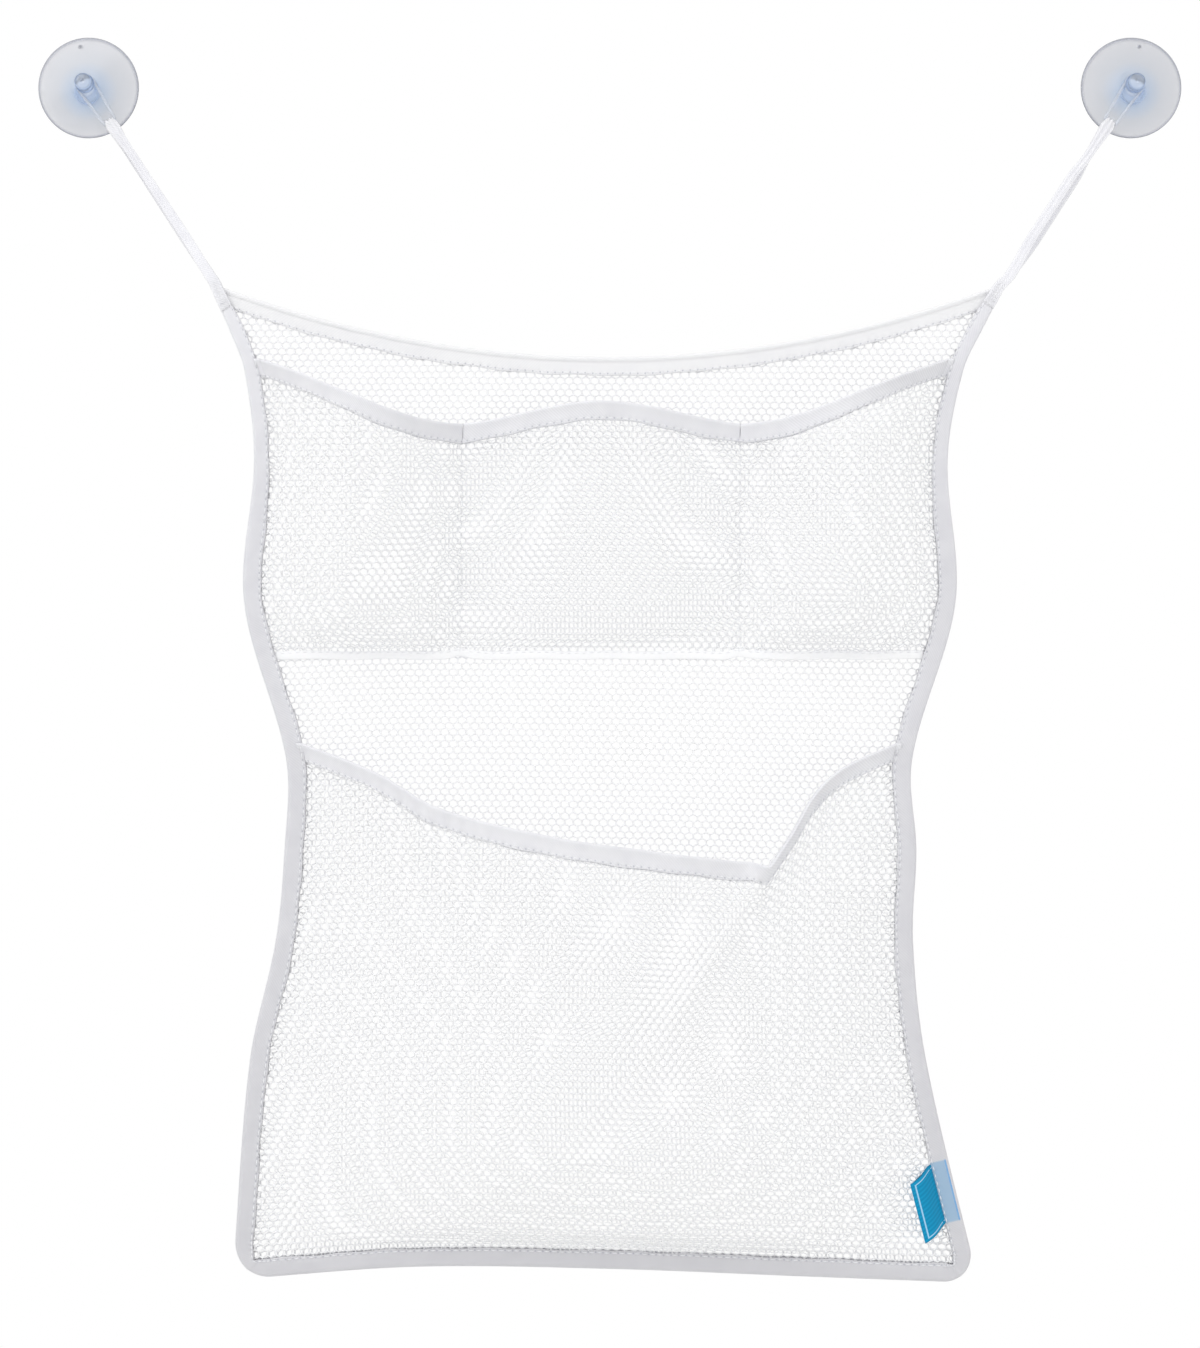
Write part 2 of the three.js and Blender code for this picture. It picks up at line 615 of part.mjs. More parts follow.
// Woven tab: a ribbon folded double, reaching along +X from its seam, which runs along Z.
function tab() {
  const gap = SEAM_GAP / 2;
  const outer = gap + TAB_THICK;
  const fold = new THREE.Shape();
  fold.moveTo(0, -outer);
  fold.lineTo(TAB_REACH - outer, -outer);
  fold.absarc(TAB_REACH - outer, 0, outer, -Math.PI / 2, Math.PI / 2);
  fold.lineTo(0, outer);
  fold.lineTo(0, gap);
  fold.lineTo(TAB_REACH - outer, gap);
  fold.absarc(TAB_REACH - outer, 0, gap, Math.PI / 2, -Math.PI / 2, true);
  fold.lineTo(0, -gap);
  fold.closePath();
  const settings = { depth: TAB_LENGTH, bevelEnabled: false, curveSegments: 6 };
  return new THREE.ExtrudeGeometry(fold, settings).translate(0, 0, -TAB_LENGTH / 2);
}

const cloth = (colour) => new THREE.MeshStandardMaterial({ color: colour, roughness: 0.9, metalness: 0 });
const NET_WHITE = cloth(0xf3f4f8);
const TAPE_WHITE = cloth(0xe4e6ee);
const TAB_BLUE = cloth(0x1a8fc9);
const CLEAR = new THREE.MeshStandardMaterial({
  color: 0xd5d8de, roughness: 0.25, metalness: 0, transparent: true, opacity: 0.6,
});

const organizer = new THREE.Group();
function add(name, geometry, material, parent = organizer) {
  const mesh = new THREE.Mesh(geometry, material);
  mesh.name = name;
  parent.add(mesh);
  return mesh;
}

// Bag.
const clothPrism = plate(clothShape(EDGE_INSET), 0, POCKET_REACH);
const seamBlock = [
  [-TAPE_WIDTH, 0], [TAPE_WIDTH + SEAM_GAP, 0],
  [TAPE_WIDTH + SEAM_GAP, BIND_FRONT + SEAM_GAP], [-TAPE_WIDTH, BIND_FRONT + SEAM_GAP],
];
const sideBlocks = [sweepEdge(leftEdge, seamBlock), sweepEdge(rightEdge, seamBlock)];
const sideFold = foldedTape(BIND_BACK, BIND_FRONT);
const topTape = sweepEdge(topEdge, foldedTape(BIND_BACK, TOP_BIND_FRONT));
const small = smallPockets();
const large = largePocket();
add("back_panel", backPanel(), NET_WHITE);
add("small_pockets", pocketSheet(small, clothPrism), NET_WHITE);
add("large_pocket", pocketSheet(large, clothPrism), NET_WHITE);
add("left_binding", sweepEdge(leftEdge, sideFold), TAPE_WHITE);
add("right_binding", sweepEdge(rightEdge, sideFold), TAPE_WHITE);
add("foot_binding", sweepEdge(footEdge, sideFold), TAPE_WHITE);
add("top_binding", cut(topTape, ...sideBlocks), TAPE_WHITE);
add("small_mouth_binding", cut(mouthTape(small), ...sideBlocks), TAPE_WHITE);
add("large_mouth_binding", cut(mouthTape(large), ...sideBlocks), TAPE_WHITE);

// Woven tab, tilted off the net in front of the right binding's inner edge.
const tabGroup = new THREE.Group();
const tabRoot = TAB_THICK + 2 * SEAM_GAP;
const tabDrop = FOOT.drop - TAB_RISE;
tabGroup.position.copy(at(insideX(1, tabDrop, TAPE_WIDTH + tabRoot), BIND_FRONT, tabDrop));
tabGroup.rotation.y = -Math.atan(slopeAt(1, tabDrop));
const tabMesh = add("woven_tab", tab(), TAB_BLUE, tabGroup);
tabMesh.rotation.z = Math.PI + degToRad(TAB_TILT);
organizer.add(tabGroup);

// Cups, hangers and straps, the straps in line from each cup to the bag's corner.
for (const [name, side] of [["left", -1], ["right", 1]]) {
  const place = new THREE.Group();
  place.position.x = (side * CUP_SPACING) / 2;
  organizer.add(place);
  add(`${name}_suction_cup`, suctionCup(side), CLEAR, place);
  const line = new THREE.Group();
  line.rotation.y = Math.atan2(CORNER.drop, side * (CORNER.half - CUP_SPACING / 2));
  place.add(line);
  add(`${name}_hanger`, hanger(), CLEAR, line);
  add(`${name}_strap`, strap(), TAPE_WHITE, line);
}

export default organizer;
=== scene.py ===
# %% [markdown]
# # A net organizer for the bath, dressed for the camera
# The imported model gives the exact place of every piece, and this script gives the looks. Nearly all of
# the object is cloth: knitted white net, bound at its edges with folded tape. Each piece is a surface
# worked out with numpy and laid where its solid is. Sizes are in millimetres until a mesh is made.

import bmesh
import bpy
import numpy as np
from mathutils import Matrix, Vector


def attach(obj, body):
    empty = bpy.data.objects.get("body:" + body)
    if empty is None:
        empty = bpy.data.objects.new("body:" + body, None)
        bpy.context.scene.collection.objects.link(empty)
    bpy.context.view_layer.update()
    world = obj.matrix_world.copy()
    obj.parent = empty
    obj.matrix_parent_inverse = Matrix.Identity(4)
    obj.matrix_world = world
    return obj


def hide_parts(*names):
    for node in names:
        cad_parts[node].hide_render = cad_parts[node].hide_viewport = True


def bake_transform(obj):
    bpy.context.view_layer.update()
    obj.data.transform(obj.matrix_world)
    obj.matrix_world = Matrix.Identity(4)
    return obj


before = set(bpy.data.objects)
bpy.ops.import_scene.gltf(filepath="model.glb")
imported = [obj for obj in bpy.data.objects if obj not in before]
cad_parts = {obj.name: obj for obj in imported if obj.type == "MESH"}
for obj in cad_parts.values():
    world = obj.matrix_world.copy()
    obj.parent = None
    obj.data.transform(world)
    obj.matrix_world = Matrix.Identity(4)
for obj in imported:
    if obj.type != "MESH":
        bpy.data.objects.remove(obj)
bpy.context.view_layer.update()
MM = 0.001
FRONT = np.array([0, -1.0, 0])
DOWN = np.array([0, 0, -1.0])
SIDES = {"left": -1, "right": 1}

# %% [markdown]
# ## Curves, meshes and materials
# A few small tools serve all pieces. A smooth curve through stations draws outlines and mouths, a mesh is
# filled from whole arrays, and a material is one shader whose inputs a short function works out.


# %% Curves
def through(stations, x):
    """Smooth curve through rising stations (x, y): a cubic on each stretch, whose slope at a station is
    that of the chord between the stations on either side of it."""
    sx, sy = np.array(stations, float).T
    x = np.asarray(x, float)
    b = np.clip(np.searchsorted(sx, x), 1, len(sx) - 1)
    a = b - 1
    before = np.maximum(a - 1, 0)
    after = np.minimum(b + 1, len(sx) - 1)
    span = sx[b] - sx[a]
    t = (x - sx[a]) / span
    leave = (sy[b] - sy[before]) / (sx[b] - sx[before]) * span
    arrive = (sy[after] - sy[a]) / (sx[after] - sx[a]) * span
    bend = t * t * (3 - 2 * t)
    return sy[a] + (sy[b] - sy[a]) * bend + t * (1 - t) * ((1 - t) * leave - t * arrive)


def smooth(x, low, high):
    """0 below low, 1 above high, and an even S between them."""
    t = np.clip((np.asarray(x, float) - low) / (high - low), 0, 1)
    return t * t * (3 - 2 * t)


def bell(x, half):
    """A bell curve, 1 at the middle."""
    return np.exp(-(x / half) ** 2)


def arc(a, b, c, steps):
    """Points of a curve from a to c that starts and ends along the lines to b."""
    t = np.linspace(0, 1, steps)[:, None]
    return (1 - t) ** 2 * np.array(a) + 2 * t * (1 - t) * np.array(b) + t ** 2 * np.array(c)


# %% Points and paths
def place(x, out, drop):
    """Points from x, the distance out from the wall and the drop below the cups."""
    return np.stack(np.broadcast_arrays(x, -np.asarray(out), -np.asarray(drop)), -1).astype(float)


def unit(vectors):
    return vectors / np.linalg.norm(vectors, axis=-1, keepdims=True)


def repeated(vector, count):
    """The same vector for each point of a path."""
    return np.tile(vector, (count, 1))


def lengths(points):
    """Distance of each point of a path from its start, along the path."""
    return np.concatenate([[0], np.cumsum(np.linalg.norm(np.diff(points, axis=0), axis=1))])


# %% A mesh from arrays
def make(name, points, faces, surface, body=None, uv=None, rounded=None):
    """A piece from points in millimetres and faces of equal or mixed size. uv has a row for each corner, and
    rounded says which faces are shaded smooth, if not all."""
    mesh = bpy.data.meshes.new(name)
    mesh.from_pydata((points * MM).tolist(), [], [list(face) for face in faces])
    mesh.polygons.foreach_set("use_smooth", np.ones(len(faces), bool) if rounded is None else rounded)
    if uv is not None:
        layer = mesh.uv_layers.new(name="Cloth")
        layer.uv.foreach_set("vector", np.asarray(uv, np.float32).ravel())
    mesh.materials.append(surface)
    piece = bpy.data.objects.new(name, mesh)
    bpy.context.scene.collection.objects.link(piece)
    if body:
        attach(piece, body)
    print(f"{name}: {len(points)} points, {len(mesh.polygons)} faces")
    return piece


MEET_GAP = 0.001


def shut(piece):
    """Merges points that meet, which drops faces without area, and turns the faces outwards."""
    whole = bmesh.new()
    whole.from_mesh(piece.data)
    bmesh.ops.remove_doubles(whole, verts=whole.verts, dist=MEET_GAP * MM)
    bmesh.ops.recalc_face_normals(whole, faces=whole.faces)
    whole.to_mesh(piece.data)
    whole.free()


def quads(n, m, closed=False, around=True):
    """Faces between n rings of m points, and the (ring, point) of each corner, counted on past the last. The
    last ring joins the first if closed, and the last point of a ring joins its first if around."""
    i, j = np.meshgrid(np.arange(n if closed else n - 1), np.arange(m if around else m - 1), indexing="ij")
    corners = np.stack([np.stack([i, i, i + 1, i + 1], -1), np.stack([j, j + 1, j + 1, j], -1)], -1)
    corners = corners.reshape(-1, 4, 2)
    return corners[..., 0] % n * m + corners[..., 1] % m, corners


def carried(rings):
    """Faces and corner places (ring, point) of a closed section carried along a path, with both ends shut."""
    n, m = rings.shape[:2]
    sides, corners = quads(n, m)
    ends = [np.arange(m)[::-1], np.arange(m) + (n - 1) * m]
    end_corners = [np.stack([np.full(m, k), end % m], -1) for k, end in zip((0, n - 1), ends)]
    places = np.concatenate([corners.reshape(-1, 2), *end_corners])
    return sides.tolist() + [end.tolist() for end in ends], places


# %% Shader nodes
def add(tree, kind, inputs=(), **settings):
    """One shader node. A value in inputs is a socket to link from or a plain value to set."""
    made = tree.nodes.new(kind)
    for name, value in settings.items():
        setattr(made, name, value)
    for name, value in dict(inputs).items():
        if isinstance(value, bpy.types.NodeSocket):
            tree.links.new(value, made.inputs[name])
        else:
            made.inputs[name].default_value = value
    return made


def colour(text):
    """Linear colour from an sRGB hex value."""
    srgb = np.array([int(text[i:i + 2], 16) for i in (1, 3, 5)]) / 255
    linear = np.where(srgb <= 0.04045, srgb / 12.92, ((srgb + 0.055) / 1.055) ** 2.4)
    return (*linear, 1.0)


def calc(tree, operation, *values):
    """The socket of a math node on sockets or plain values."""
    return add(tree, "ShaderNodeMath", dict(enumerate(values)), operation=operation).outputs[0]


def between(tree, share, first, second):
    """The socket of a colour between two, each given as a socket or a hex value."""
    tones = [colour(tone) if isinstance(tone, str) else tone for tone in (first, second)]
    mix = add(tree, "ShaderNodeMix", {"Factor": share, "A": tones[0], "B": tones[1]}, data_type="RGBA")
    return mix.outputs["Result"]


def in_range(tree, value, low, high, to=(0.0, 1.0)):
    """The socket of a value moved from the range low to high into another range."""
    ends = {"From Min": low, "From Max": high, "To Min": to[0], "To Max": to[1]}
    return add(tree, "ShaderNodeMapRange", {"Value": value, **ends}).outputs["Result"]


def own_place(tree):
    """The socket of the place in the object's own space."""
    return add(tree, "ShaderNodeTexCoord").outputs["Object"]


def noise(tree, size, detail=2.0):
    """The socket of a soft noise whose patches have about a size in millimetres."""
    inputs = {"Vector": own_place(tree), "Scale": 1 / (size * MM), "Detail": detail}
    return add(tree, "ShaderNodeTexNoise", inputs).outputs["Fac"]


def relief(tree, height, strength, depth):
    """The socket of a normal that is tilted by a height, to a depth in millimetres."""
    inputs = {"Height": height, "Strength": strength, "Distance": depth * MM}
    return add(tree, "ShaderNodeBump", inputs).outputs["Normal"]


def on_cloth(tree):
    """The sockets of a piece's own map and of its two coordinates."""
    cloth = add(tree, "ShaderNodeUVMap", uv_map="Cloth").outputs["UV"]
    parts = add(tree, "ShaderNodeSeparateXYZ", {"Vector": cloth})
    return cloth, parts.outputs["X"], parts.outputs["Y"]


def material(name, looks, *settings):
    """A material with one principled shader, whose inputs the function looks gives."""
    made = bpy.data.materials.new(name)
    made.use_nodes = True
    tree = made.node_tree
    tree.nodes.clear()
    shader = add(tree, "ShaderNodeBsdfPrincipled", looks(tree, *settings))
    add(tree, "ShaderNodeOutputMaterial", {"Surface": shader.outputs["BSDF"]})
    return made


# %% [markdown]
# ## Net
# The net is knitted from fine white polyester yarn, then heat set, so its threads are matt, a little
# fuzzy and not quite even in tone. The yarn is far too fine for this distance. Its unevenness is drawn as
# a soft mottle of a few millimetres, and the fuzz as sheen. White yarn lets some light through, which the
# subsurface share gives.

# %% Net material
NET_MOTTLE = 7


def knitted_polyester(tree):
    mottle = noise(tree, NET_MOTTLE)
    tone = between(tree, mottle, "#F3F4F9", "#FDFDFE")
    return {"Base Color": tone, "Normal": relief(tree, mottle, 0.2, 0.2),
            "Roughness": 0.7, "IOR": 1.5, "Sheen Weight": 0.12, "Sheen Roughness": 0.5,
            "Subsurface Weight": 0.5, "Subsurface Radius": (1.0, 1.0, 1.0), "Subsurface Scale": 0.5 * MM}


NET = material("knitted_polyester", knitted_polyester)

# %% [markdown]
# ## Outline of the hanging bag
# The bag hangs by its two top corners. It is drawn in at the waist, where nothing fills it, and spreads
# again at the foot. The side line is a smooth curve through a few stations, and the top edge sags in a
# parabola between the corners.

# %% Outline
CORNER_DROP = 92
CORNER_HALF = 184
CORNER_LEAN = 1
FOOT_DROP = 555
FOOT_RADII = {-1: 17, 1: 13}
TOP_SAG = 34
HALF_WIDTHS = [(CORNER_DROP, CORNER_HALF + 2), (113, 175.8), (132, 167.8), (174, 161.8), (240, 166),
               (314, 146), (356, 147.4), (398, 148.6), (454, 157.7), (FOOT_DROP, 174)]
LEANS = [(CORNER_DROP, CORNER_LEAN), (113, 1.9), (132, 2.8), (174, 4.2), (240, 4.7), (314, 5), (356, 4.4),
         (398, 7.2), (454, 10.2), (FOOT_DROP, 2)]
FOOT_WAVE = [(-170, -1), (-90, 4.5), (0, 3.5), (90, 0), (170, -3)]
FOOT_FADE = 110


def edge_x(side, drop):
    return side * through(HALF_WIDTHS, drop) - through(LEANS, drop)


def edge_slope(side, drop):
    """How far the side line moves along x for each millimetre of drop."""
    return edge_x(side, drop + 0.5) - edge_x(side, drop - 0.5)


def inside_x(side, drop, depth):
    """The x of a line that runs inside the side line at a depth, square to it."""
    return edge_x(side, drop) - side * depth * np.hypot(1, edge_slope(side, drop))


def top_drop(x):
    return CORNER_DROP + TOP_SAG * (1 - ((x + CORNER_LEAN) / CORNER_HALF) ** 2)


def settled(x, drop):
    """Drop of a point in the hanging bag. The foot line waves a little, which fades out upwards."""
    wave = through(FOOT_WAVE, np.clip(x, FOOT_WAVE[0][0], FOOT_WAVE[-1][0]))
    return drop - wave * smooth(drop, FOOT_DROP - FOOT_FADE, FOOT_DROP)


# %% [markdown]
# ## Sheets
# A pocket is one sheet of net, sewn in at both sides and at its foot, so it hangs as a belly. A point of it
# is found from a share across and a share up. Across, the belly follows half a sine between two seams, and
# up, it swells fast above the foot and slackens to the mouth.

# %% Layers and seams
TAPE_WIDTH = 8.7
TAPE_THICK = 0.5
NET_THICK = 0.6
SEAM_GAP = 0.3
BIND_BACK = 1.3
PANEL_OUT = 2.4
POCKET_OUT = 4.1
BIND_FRONT = 5.2
TOP_BIND_FRONT = 3.5
EDGE_INSET = TAPE_THICK + SEAM_GAP
SEAM_DEPTH = TAPE_WIDTH + 2 * SEAM_GAP


def left_seam(drop):
    return inside_x(-1, drop, SEAM_DEPTH)


def right_seam(drop):
    return inside_x(1, drop, SEAM_DEPTH)


def belly(share, up, borders, bulges, mouth, seam, swell):
    """Places on a pocket sheet: x, out, drop and the share across its own bay. The bays lie between the
    borders, and outside 0 to 1 the sheet runs on flat under the bindings."""
    knots = np.array([border(seam) for border in borders])
    knots = (knots - knots[0]) / (knots[-1] - knots[0])
    share, up = np.broadcast_arrays(share, up)
    drop = seam + (mouth(np.clip(share, 0, 1)) + EDGE_INSET - seam) * up
    bay = np.clip(np.searchsorted(knots, share, side="right") - 1, 0, len(bulges) - 1)
    t = (share - knots[bay]) / (knots[bay + 1] - knots[bay])
    lines = [border(drop) for border in borders]
    low = np.choose(bay, lines[:-1])
    high = np.choose(bay, lines[1:])
    out = np.array(bulges)[bay] * np.sin(np.pi * np.clip(t, 0, 1)) * through(swell, np.clip(up, 0, 1))
    return low + (high - low) * t, POCKET_OUT + out, drop, np.clip(t, 0, 1)


def ripples(x, drop, waves):
    """Slack cloth as a sum of waves (height, length across, length down), with lengths for each radian."""
    return sum(height * np.sin(x / across + drop / down) for height, across, down in waves)


# %% Row of small pockets
ROW_SEAM = 263
ROW_DIVIDER = 65
ROW_MOUTH = [(0, 127), (0.232, 157), (0.5, 148), (0.768, 157), (1, 127)]
ROW_BULGES = (36, 15, 36)
ROW_SWELL = [(0, 0), (0.12, 0.62), (0.35, 1), (0.7, 0.92), (1, 0.7)]
ROW_PULL = EDGE_INSET
ROW_RIPPLES = ((0.7, 7.5, 40), (0.5, 4.6, -55))
ROW_TAUT = 0.2


def row_border(side):
    return lambda drop: side * ROW_DIVIDER - through(LEANS, drop)


ROW_BORDERS = (left_seam, row_border(-1), row_border(1), right_seam)


def row_mouth(share):
    return through(ROW_MOUTH, share)


def small_pockets(share, up):
    """The row's sheet. Its foot is pulled back against the panel, and slack shows as faint upright folds."""
    x, out, drop, t = belly(share, up, ROW_BORDERS, ROW_BULGES, row_mouth, ROW_SEAM, ROW_SWELL)
    slack = np.sin(np.pi * t) * smooth(up, 0, ROW_TAUT)
    pull = ROW_PULL * np.clip(1 - up, 0, 1) ** 2
    return place(x, out - pull + ripples(x, drop, ROW_RIPPLES) * slack, drop)


# %% Large pocket
LARGE_SEAM = FOOT_DROP - SEAM_DEPTH
LARGE_END = 306
LARGE_LOW = (0.775, 361)
LEFT_MOUTH = [(0, LARGE_END), (0.13, 320), (0.23, 335), (0.42, 347.5), (0.59, 354.5), LARGE_LOW]
RIGHT_MOUTH = [LARGE_LOW, (0.815, 345.5), (0.857, 329), (0.9, 318.5), (1, LARGE_END)]
LARGE_BULGE = 58
LARGE_SWELL = [(0, 0), (0.08, 0.42), (0.28, 0.95), (0.45, 1), (0.75, 0.85), (1, 0.62)]
LARGE_RIPPLES = ((0.8, 13, 21), (0.5, 6.1, -37))
LARGE_TAUT = 0.15
FOLD_HEIGHT = 6.5
FOLD_WIDTH = 6
FOLD_DROP = 75
FOLD_SIDEWAYS = 50
FOLD_FADE = (0.3, 1.3)
PLEAT_HEIGHT = 0.75
PLEAT_PITCH = 4.6
PLEAT_WAY = (0.85, -0.5)
PLEAT_X = -84
PLEAT_HALF = 26
PLEAT_START = (2, 10)
PLEAT_END = (20, 60)


def large_mouth(share):
    """Drop of the mouth: two smooth curves that meet in its sharp low corner."""
    return np.where(share < LARGE_LOW[0], through(LEFT_MOUTH, share), through(RIGHT_MOUTH, share))


def mouth_fold(x, drop):
    """A ridge down and left from the mouth's low corner, which falls off on both sides as a bell curve."""
    low = LARGE_LOW[1]
    fold_x = left_seam(low) + (right_seam(low) - left_seam(low)) * LARGE_LOW[0]
    along = (drop - low) / FOLD_DROP
    off = x - fold_x + along * FOLD_SIDEWAYS
    return FOLD_HEIGHT * bell(off, FOLD_WIDTH) * (1 - smooth(along, *FOLD_FADE))


def mouth_pleats(x, drop, below):
    """Fine pleats that slant down to the right, in a band below the left half of the mouth."""
    phase = (PLEAT_WAY[0] * x + PLEAT_WAY[1] * drop) * 2 * np.pi / PLEAT_PITCH
    band = bell(x - PLEAT_X, PLEAT_HALF) * smooth(below, *PLEAT_START) * (1 - smooth(below, *PLEAT_END))
    return PLEAT_HEIGHT * np.sin(phase) * band


def large_pocket(share, up):
    """The large sheet, with the one strong fold that runs on from the steep stretch of its mouth."""
    borders = (left_seam, right_seam)
    x, out, drop, t = belly(share, up, borders, (LARGE_BULGE,), large_mouth, LARGE_SEAM, LARGE_SWELL)
    fold = mouth_fold(x, drop) * np.sqrt(np.sin(np.pi * t))
    pleats = mouth_pleats(x, drop, drop - large_mouth(np.clip(share, 0, 1)))
    slack = np.sin(np.pi * t) * smooth(up, 0, LARGE_TAUT)
    return place(x, out + fold + pleats + ripples(x, drop, LARGE_RIPPLES) * slack, settled(x, drop))


# %% Back panel
PANEL_SPAN = 2 * CORNER_HALF + 8
PANEL_HEIGHT = FOOT_DROP - CORNER_DROP
PANEL_RIPPLES = ((0.15, 17, 29),)


def back_panel(share, up):
    """A flat sheet that covers the whole outline, with a slight waviness of the slack cloth."""
    x = (share - 0.5) * PANEL_SPAN - CORNER_LEAN
    drop = FOOT_DROP - PANEL_HEIGHT * up
    return place(x, PANEL_OUT + ripples(x, drop, PANEL_RIPPLES), settled(x, drop))


def in_bag(x, drop, depth):
    """True where a point lies at least that deep inside the bag's outline, its round foot corners too."""
    sides = (x > inside_x(-1, drop, depth)) & (x < inside_x(1, drop, depth))
    ends = (drop > top_drop(x) + depth) & (drop < FOOT_DROP - depth)
    corner = False
    for side, radius in FOOT_RADII.items():
        centre = FOOT_DROP - radius
        past = side * (x - inside_x(side, centre, radius))
        corner |= (past > 0) & (drop > centre) & (np.hypot(past, drop - centre) > radius - depth)
    return sides & ends & ~corner


# %% [markdown]
# ## Knitting the net on a sheet
# Drawing the holes with a see-through texture would be quick, but the net would have no thickness and no
# shadow. Here each hole is real. The cells stand in staggered rows on the flat cloth, and the cloth is
# then laid on the sheet evenly along its surface, so that cells keep their size where the belly turns away.

# %% Sheet grids
GRID_COLUMNS = 321
GRID_ROWS = 241


def laid(sheet, across, upward):
    """Grid of points on a sheet between two shares across and two up. Its columns, then the rows of each
    column, are spaced evenly along the cloth."""
    share = np.linspace(*across, GRID_COLUMNS)
    up = np.linspace(*upward, GRID_ROWS)
    rough = sheet(share[:, None], up[None])
    step = np.linalg.norm(np.diff(rough, axis=0), axis=2).mean(1)
    along = np.concatenate([[0], np.cumsum(step)])
    share = np.interp(np.linspace(0, along[-1], GRID_COLUMNS), along, share)
    rough = sheet(share[:, None], up[None])
    rise = np.linalg.norm(np.diff(rough, axis=1), axis=2)
    climb = np.pad(np.cumsum(rise, axis=1), ((0, 0), (1, 0)))
    even = np.linspace(0, 1, GRID_ROWS)
    up = np.stack([np.interp(even, column / column[-1], up) for column in climb])
    return sheet(share[:, None], up)


def size_of(grid):
    """Mean width and height of a grid, along the cloth."""
    width = np.linalg.norm(np.diff(grid, axis=0), axis=2).sum(0).mean()
    height = np.linalg.norm(np.diff(grid, axis=1), axis=2).sum(1).mean()
    return width, height


def sample(grid, s, t):
    """Values of a grid at shares s across and t up, weighed between the four nearest points."""
    a = np.clip(s, 0, 1) * (grid.shape[0] - 1)
    b = np.clip(t, 0, 1) * (grid.shape[1] - 1)
    i = np.minimum(a.astype(int), grid.shape[0] - 2)
    j = np.minimum(b.astype(int), grid.shape[1] - 2)
    f = (a - i)[..., None]
    g = (b - j)[..., None]
    near = grid[i, j] * (1 - g) + grid[i, j + 1] * g
    far = grid[i + 1, j] * (1 - g) + grid[i + 1, j + 1] * g
    return near * (1 - f) + far * f


# %% Cells of the net
CELL_PITCH = 4.0
CELL_ROW = 2.8
CELL = np.array([CELL_PITCH, CELL_ROW])
CELL_PARTS = np.array([2, 3])
HOLE_SHARE = 0.8
KNOT_X = np.array([0, -1, -1, 0, 1, 1])
KNOT_Y = np.array([2, 1, -1, -2, -1, 1])


def cells(width, height):
    """Middles of all cells that fit on a flat cloth, in half pitches across and thirds of a row up."""
    i, j = np.meshgrid(np.arange(width / CELL_PITCH), np.arange(height / CELL_ROW), indexing="ij")
    middles = np.stack([2 * i + j % 2 + 1, 3 * j + 2], -1).reshape(-1, 2).astype(int)
    wide = (middles[:, 0] + 1) * CELL_PITCH / 2 < width
    high = (middles[:, 1] + 2) * CELL_ROW / 3 < height
    return middles[wide & high]


def knit(grid, keep=None):
    """Points and faces of a net on a grid, and which faces are shaded smooth. A cell's six knots lie half a
    pitch to each side of its middle and one or two thirds of a row up and down. There three threads meet,
    thickest in front of and behind the cloth. The hole is the same hexagon drawn in to a share of its size,
    on the cloth itself, so each thread is a rod with four sides. At a cut edge the rod is thin and sharp, so
    it isn't shaded smooth there."""
    width, height = size_of(grid)
    normal = unit(np.cross(np.gradient(grid, axis=0), np.gradient(grid, axis=1)))
    scale = CELL / CELL_PARTS / (width, height)
    middles = cells(width, height)
    if keep:
        x, _, z = sample(grid, *(middles * CELL / CELL_PARTS / (width, height)).T).T
        middles = middles[keep(x, -z)]
    keys = middles[:, None] + np.stack([KNOT_X, KNOT_Y], -1)
    knots, knot_of, uses = np.unique(keys.reshape(-1, 2), axis=0, return_inverse=True, return_counts=True)
    knot_of = knot_of.reshape(-1, 6)
    at_knot = (knots * scale).T
    at_hole = (middles[:, None] * (1 - HOLE_SHARE) + keys * HOLE_SHARE) * scale
    raised = sample(normal, *at_knot) * np.where(uses < 3, 0, NET_THICK / 2)[:, None]
    surface = sample(grid, *at_knot)
    holes = sample(grid, *at_hole.reshape(-1, 2).T)
    points = np.concatenate([surface + raised, surface - raised, holes])
    front = knot_of
    back = np.where(uses < 3, np.arange(len(knots)), np.arange(len(knots)) + len(knots))[knot_of]
    hole = np.arange(len(holes)).reshape(-1, 6) + 2 * len(knots)
    step = np.roll(np.arange(6), -1)
    whole = uses[knot_of] == 3
    rounded = np.tile((whole & whole[:, step]).ravel(), 2)
    fore = np.stack([front, front[:, step], hole[:, step], hole], -1).reshape(-1, 4)
    aft = np.stack([back, hole, hole[:, step], back[:, step]], -1).reshape(-1, 4)
    used, faces = np.unique(np.concatenate([fore, aft]), return_inverse=True)
    return points[used], faces.reshape(-1, 4), rounded


# %% [markdown]
# The panel is knitted in two pieces, one above the other on the same rows, because a mesh with so many
# holes is heavy.

# %% Nets
PANEL_SPLIT = 265.5
HIDDEN_DEPTH = 3
SEWN_IN = 0.02
SEWN_UP = 0.025


def inside_tape(x, drop):
    return in_bag(x, drop, HIDDEN_DEPTH)


def upper_half(x, drop):
    return inside_tape(x, drop) & (drop <= PANEL_SPLIT)


def lower_half(x, drop):
    return inside_tape(x, drop) & (drop > PANEL_SPLIT)


def net_piece(name, node, grid, keep=None):
    """A net knitted on a grid, on the cells that keep leaves or on all of them, in place of the model's node."""
    points, faces, rounded = knit(grid, keep)
    piece = make(name, points, faces, NET, "bag", rounded=rounded)
    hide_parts(node)


